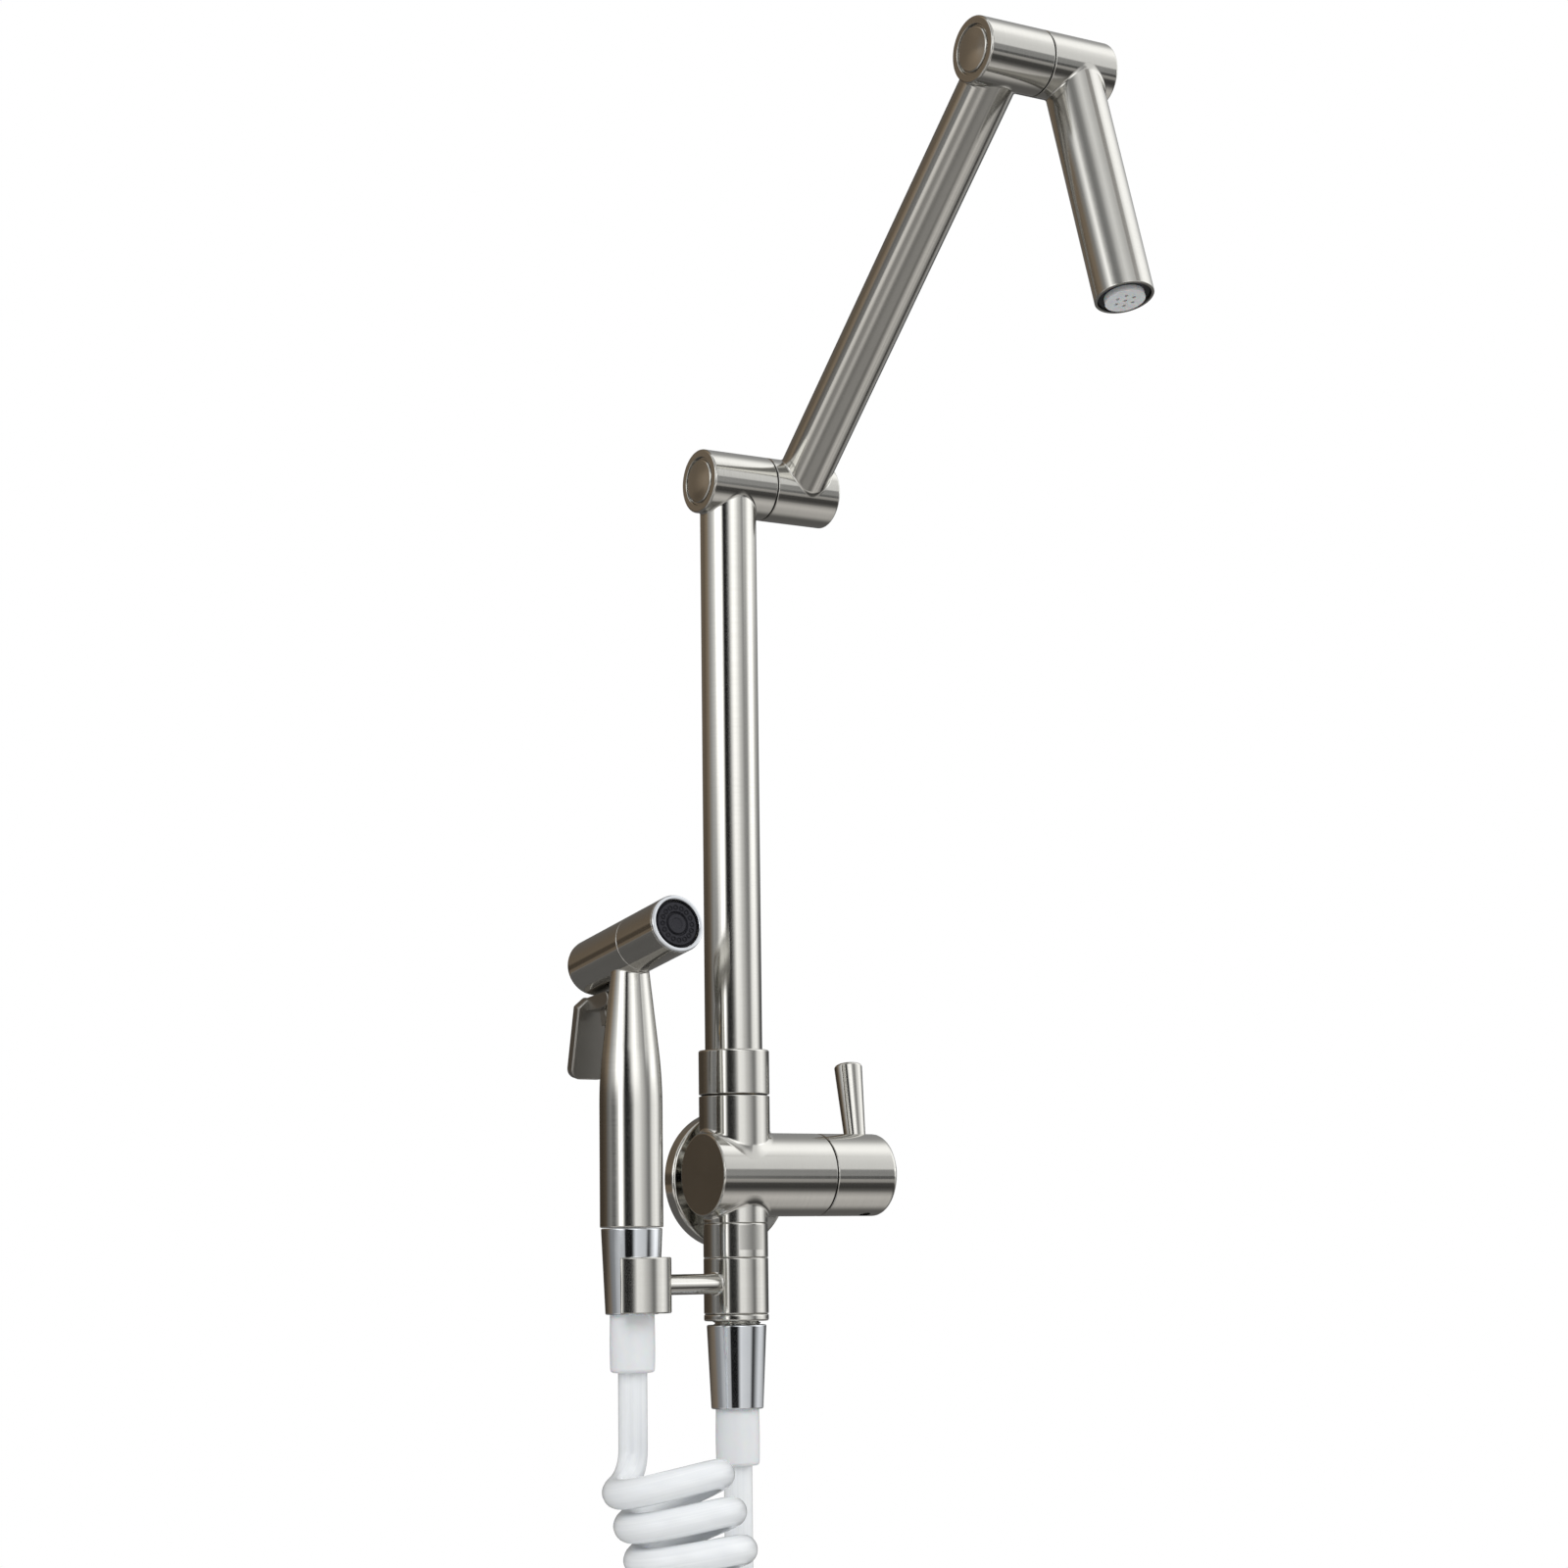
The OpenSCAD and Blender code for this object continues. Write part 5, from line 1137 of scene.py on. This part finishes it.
low_strips = [
    (-180, 0.06), (-150, 0.05), (-125, 0.05), (-103, 0.08), (-87, 0.2), (-77, 0.3), (-70, 0.16), (-60, 0.1),
    (-52, 0.35), (-46, 0.8), (-41, lamp), (-30, lamp), (-25, 0.6), (-20, 0.06), (-12, 0.02), (-1, 0.03),
    (5, 0.12), (11, 0.5), (18, 1.2), (33, 1.15), (43, 0.85), (54, 0.6), (62, 0.4), (69, 0.26), (74, 0.35),
    (79, 0.65), (86, 1.05), (106, 1.35), (119, 0.95), (128, 0.45), (137, 0.13), (180, 0.06),
]
middle_strips = [
    (-180, 0.16), (-145, 0.14), (-120, 0.13), (-99, 0.25), (-82, 0.48), (-68, 0.85), (-60, 1.2),
    (-54, lamp), (-30, lamp), (-25, 1.2), (-21, 0.12), (-17, 0.01), (-9, 0.01), (-4, 0.12), (1, 0.45),
    (7, 1.2), (15, 1.8), (24, 1.8), (34, 1.4), (41, 0.95), (50, 0.7), (58, 0.42), (65, 0.3), (72, 0.32),
    (77, 0.6), (84, 1.5), (90, lamp), (104, lamp), (113, 1.2), (123, 0.55), (142, 0.4), (180, 0.14),
]
lever_strips = [
    (-180, 0.12), (-120, 0.13), (-100, 0.16), (-82, 0.3), (-68, 0.85), (-56, lamp), (-38, lamp), (-33, 0.2),
    (-28, 0.03), (-15, 0.03), (-9, 0.7), (-2, 1.7), (22, 1.8), (30, 0.7), (40, 0.35), (50, 0.3), (60, 0.42),
    (180, 0.14),
]
high_strips = [
    (-180, 0.17), (-138, 0.14), (-116, 0.2), (-100, 0.3), (-85, 0.42), (-77, 0.95), (-58, 1.05), (-50, 0.6),
    (-42, 0.38), (-30, 0.26), (-17, 0.33), (0, 0.74), (15, 0.95), (32, 0.8), (48, 0.66), (58, 0.9),
    (76, 0.95), (86, 1.25), (95, 1.5), (108, 1.5), (122, 1.35), (134, 1), (147, 0.62), (160, 0.42),
    (180, 0.3),
]
# The floor by height in degrees: bands at the sides and brighter ones in front. Behind the object it is
# dark, and so is a panel of the ceiling.
side_bands = [
    (-90, 0.2), (-64, 0.22), (-58, 0.55), (-51, 0.7), (-46, 0.6), (-41, 0.42), (-37, 0.16), (-30, 0.06),
    (-20, 0.07), (-17, 0.35), (-12, 0.42), (-9, 0.4),
]
front_bands = [
    (-90, 0.34), (-64, 0.32), (-57, 0.2), (-52, 0.25), (-47, 0.6), (-42, 0.6), (-36, 0.34), (-26, 0.3),
    (-18, 0.85), (-9, 0.9),
]
dark_floor = [(-90, 0.13), (90, 0.13)]
dim_panel = [(-90, 0.38), (90, 0.38)]

world = bpy.data.worlds.new("studio")
bpy.context.scene.world = world
world.use_nodes = True
tree = world.node_tree
tree.nodes.clear()
way = add(tree, "TexCoord")
to_camera = math.atan2(-math.cos(camera_yaw), math.sin(camera_yaw))
from_camera = add(tree, "Mapping", {"Rotation": (0, 0, -to_camera)}, {"Vector": way.outputs["Generated"]})
parts = add(tree, "SeparateXYZ", {}, {"Vector": from_camera})
bearing = add(tree, "Math", {"operation": "ARCTAN2"}, {0: parts.outputs["Y"], 1: parts.outputs["X"]})
rise = add(tree, "Math", {"operation": "ARCSINE"}, {0: parts.outputs["Z"]})

# Each list is laid over those before it, where all of its limits are passed: (angle, from, to) in degrees
studio = [
    (low_strips, bearing, [(rise, -100, -95)]),
    (nut_strips, bearing, [(rise, -2.5, -4.5)]),
    (middle_strips, bearing, [(rise, 4, 9)]),
    (lever_strips, bearing, [(rise, 16, 19)]),
    (high_strips, bearing, [(rise, 9, 14), (bearing, 60, 66)]),
    (high_strips, bearing, [(rise, 27, 32)]),
    (dim_panel, rise, [(rise, 39, 43), (bearing, 50, 58), (bearing, 80, 74)]),
    (side_bands, rise, [(rise, -9, -12)]),
    (front_bands, rise, [(rise, -9, -12), (bearing, -92, -80), (bearing, 60, 48)]),
    (front_bands, rise, [(rise, -27, -31), (rise, -52, -48), (bearing, 98, 106)]),
    (dark_floor, rise, [(rise, -9, -12), (bearing, 125, 165)]),
    (dark_floor, rise, [(rise, -9, -12), (bearing, -94, -108)]),
]
reflected = None
for levels, angle, limits in studio:
    reach = 180 if angle == bearing else 90
    colours = []
    for place, level in levels:
        warmth = slightly_warm if angle == rise else 0
        if angle == bearing and brown_corner[0] < place < brown_corner[1]:
            warmth = brown
        colours.append(((place / reach + 1) / 2, (level * (1 + warmth), level, level * (1 - warmth), 1)))
    span = {"From Min": -math.radians(reach), "From Max": math.radians(reach)}
    along_ramp = add(tree, "MapRange", span, {"Value": angle})
    painted = add(tree, "ValToRGB", {"stops": colours}, {"Fac": along_ramp})
    share = {}
    for limit, start, end in limits:
        span = {"From Min": math.radians(start), "From Max": math.radians(end)}
        eased = {"interpolation_type": "SMOOTHSTEP", **span}
        passed = add(tree, "MapRange", eased, {"Value": limit, **share})
        share = {"To Max": passed}
    under = {6: reflected} if reflected else {}
    laid = add(tree, "Mix", {"data_type": "RGBA"}, {0: share["To Max"], 7: painted, **under})
    reflected = laid.outputs[2]
rays = add(tree, "LightPath")
lit = add(tree, "Background", {"Color": (1, 1, 1, 1), "Strength": surroundings})
seen = add(tree, "Background", {"Color": (1, 1, 1, 1), "Strength": 1})
mirrored = add(tree, "Background", {"Strength": 1}, {"Color": reflected})
with_metal = add(tree, "MixShader", {}, {0: rays.outputs["Is Glossy Ray"], 1: lit, 2: mirrored})
with_backdrop = add(tree, "MixShader", {}, {0: rays.outputs["Is Camera Ray"], 1: with_metal, 2: seen})
add(tree, "OutputWorld", {}, {"Surface": with_backdrop})
bpy.context.scene.view_settings.view_transform = "Standard"
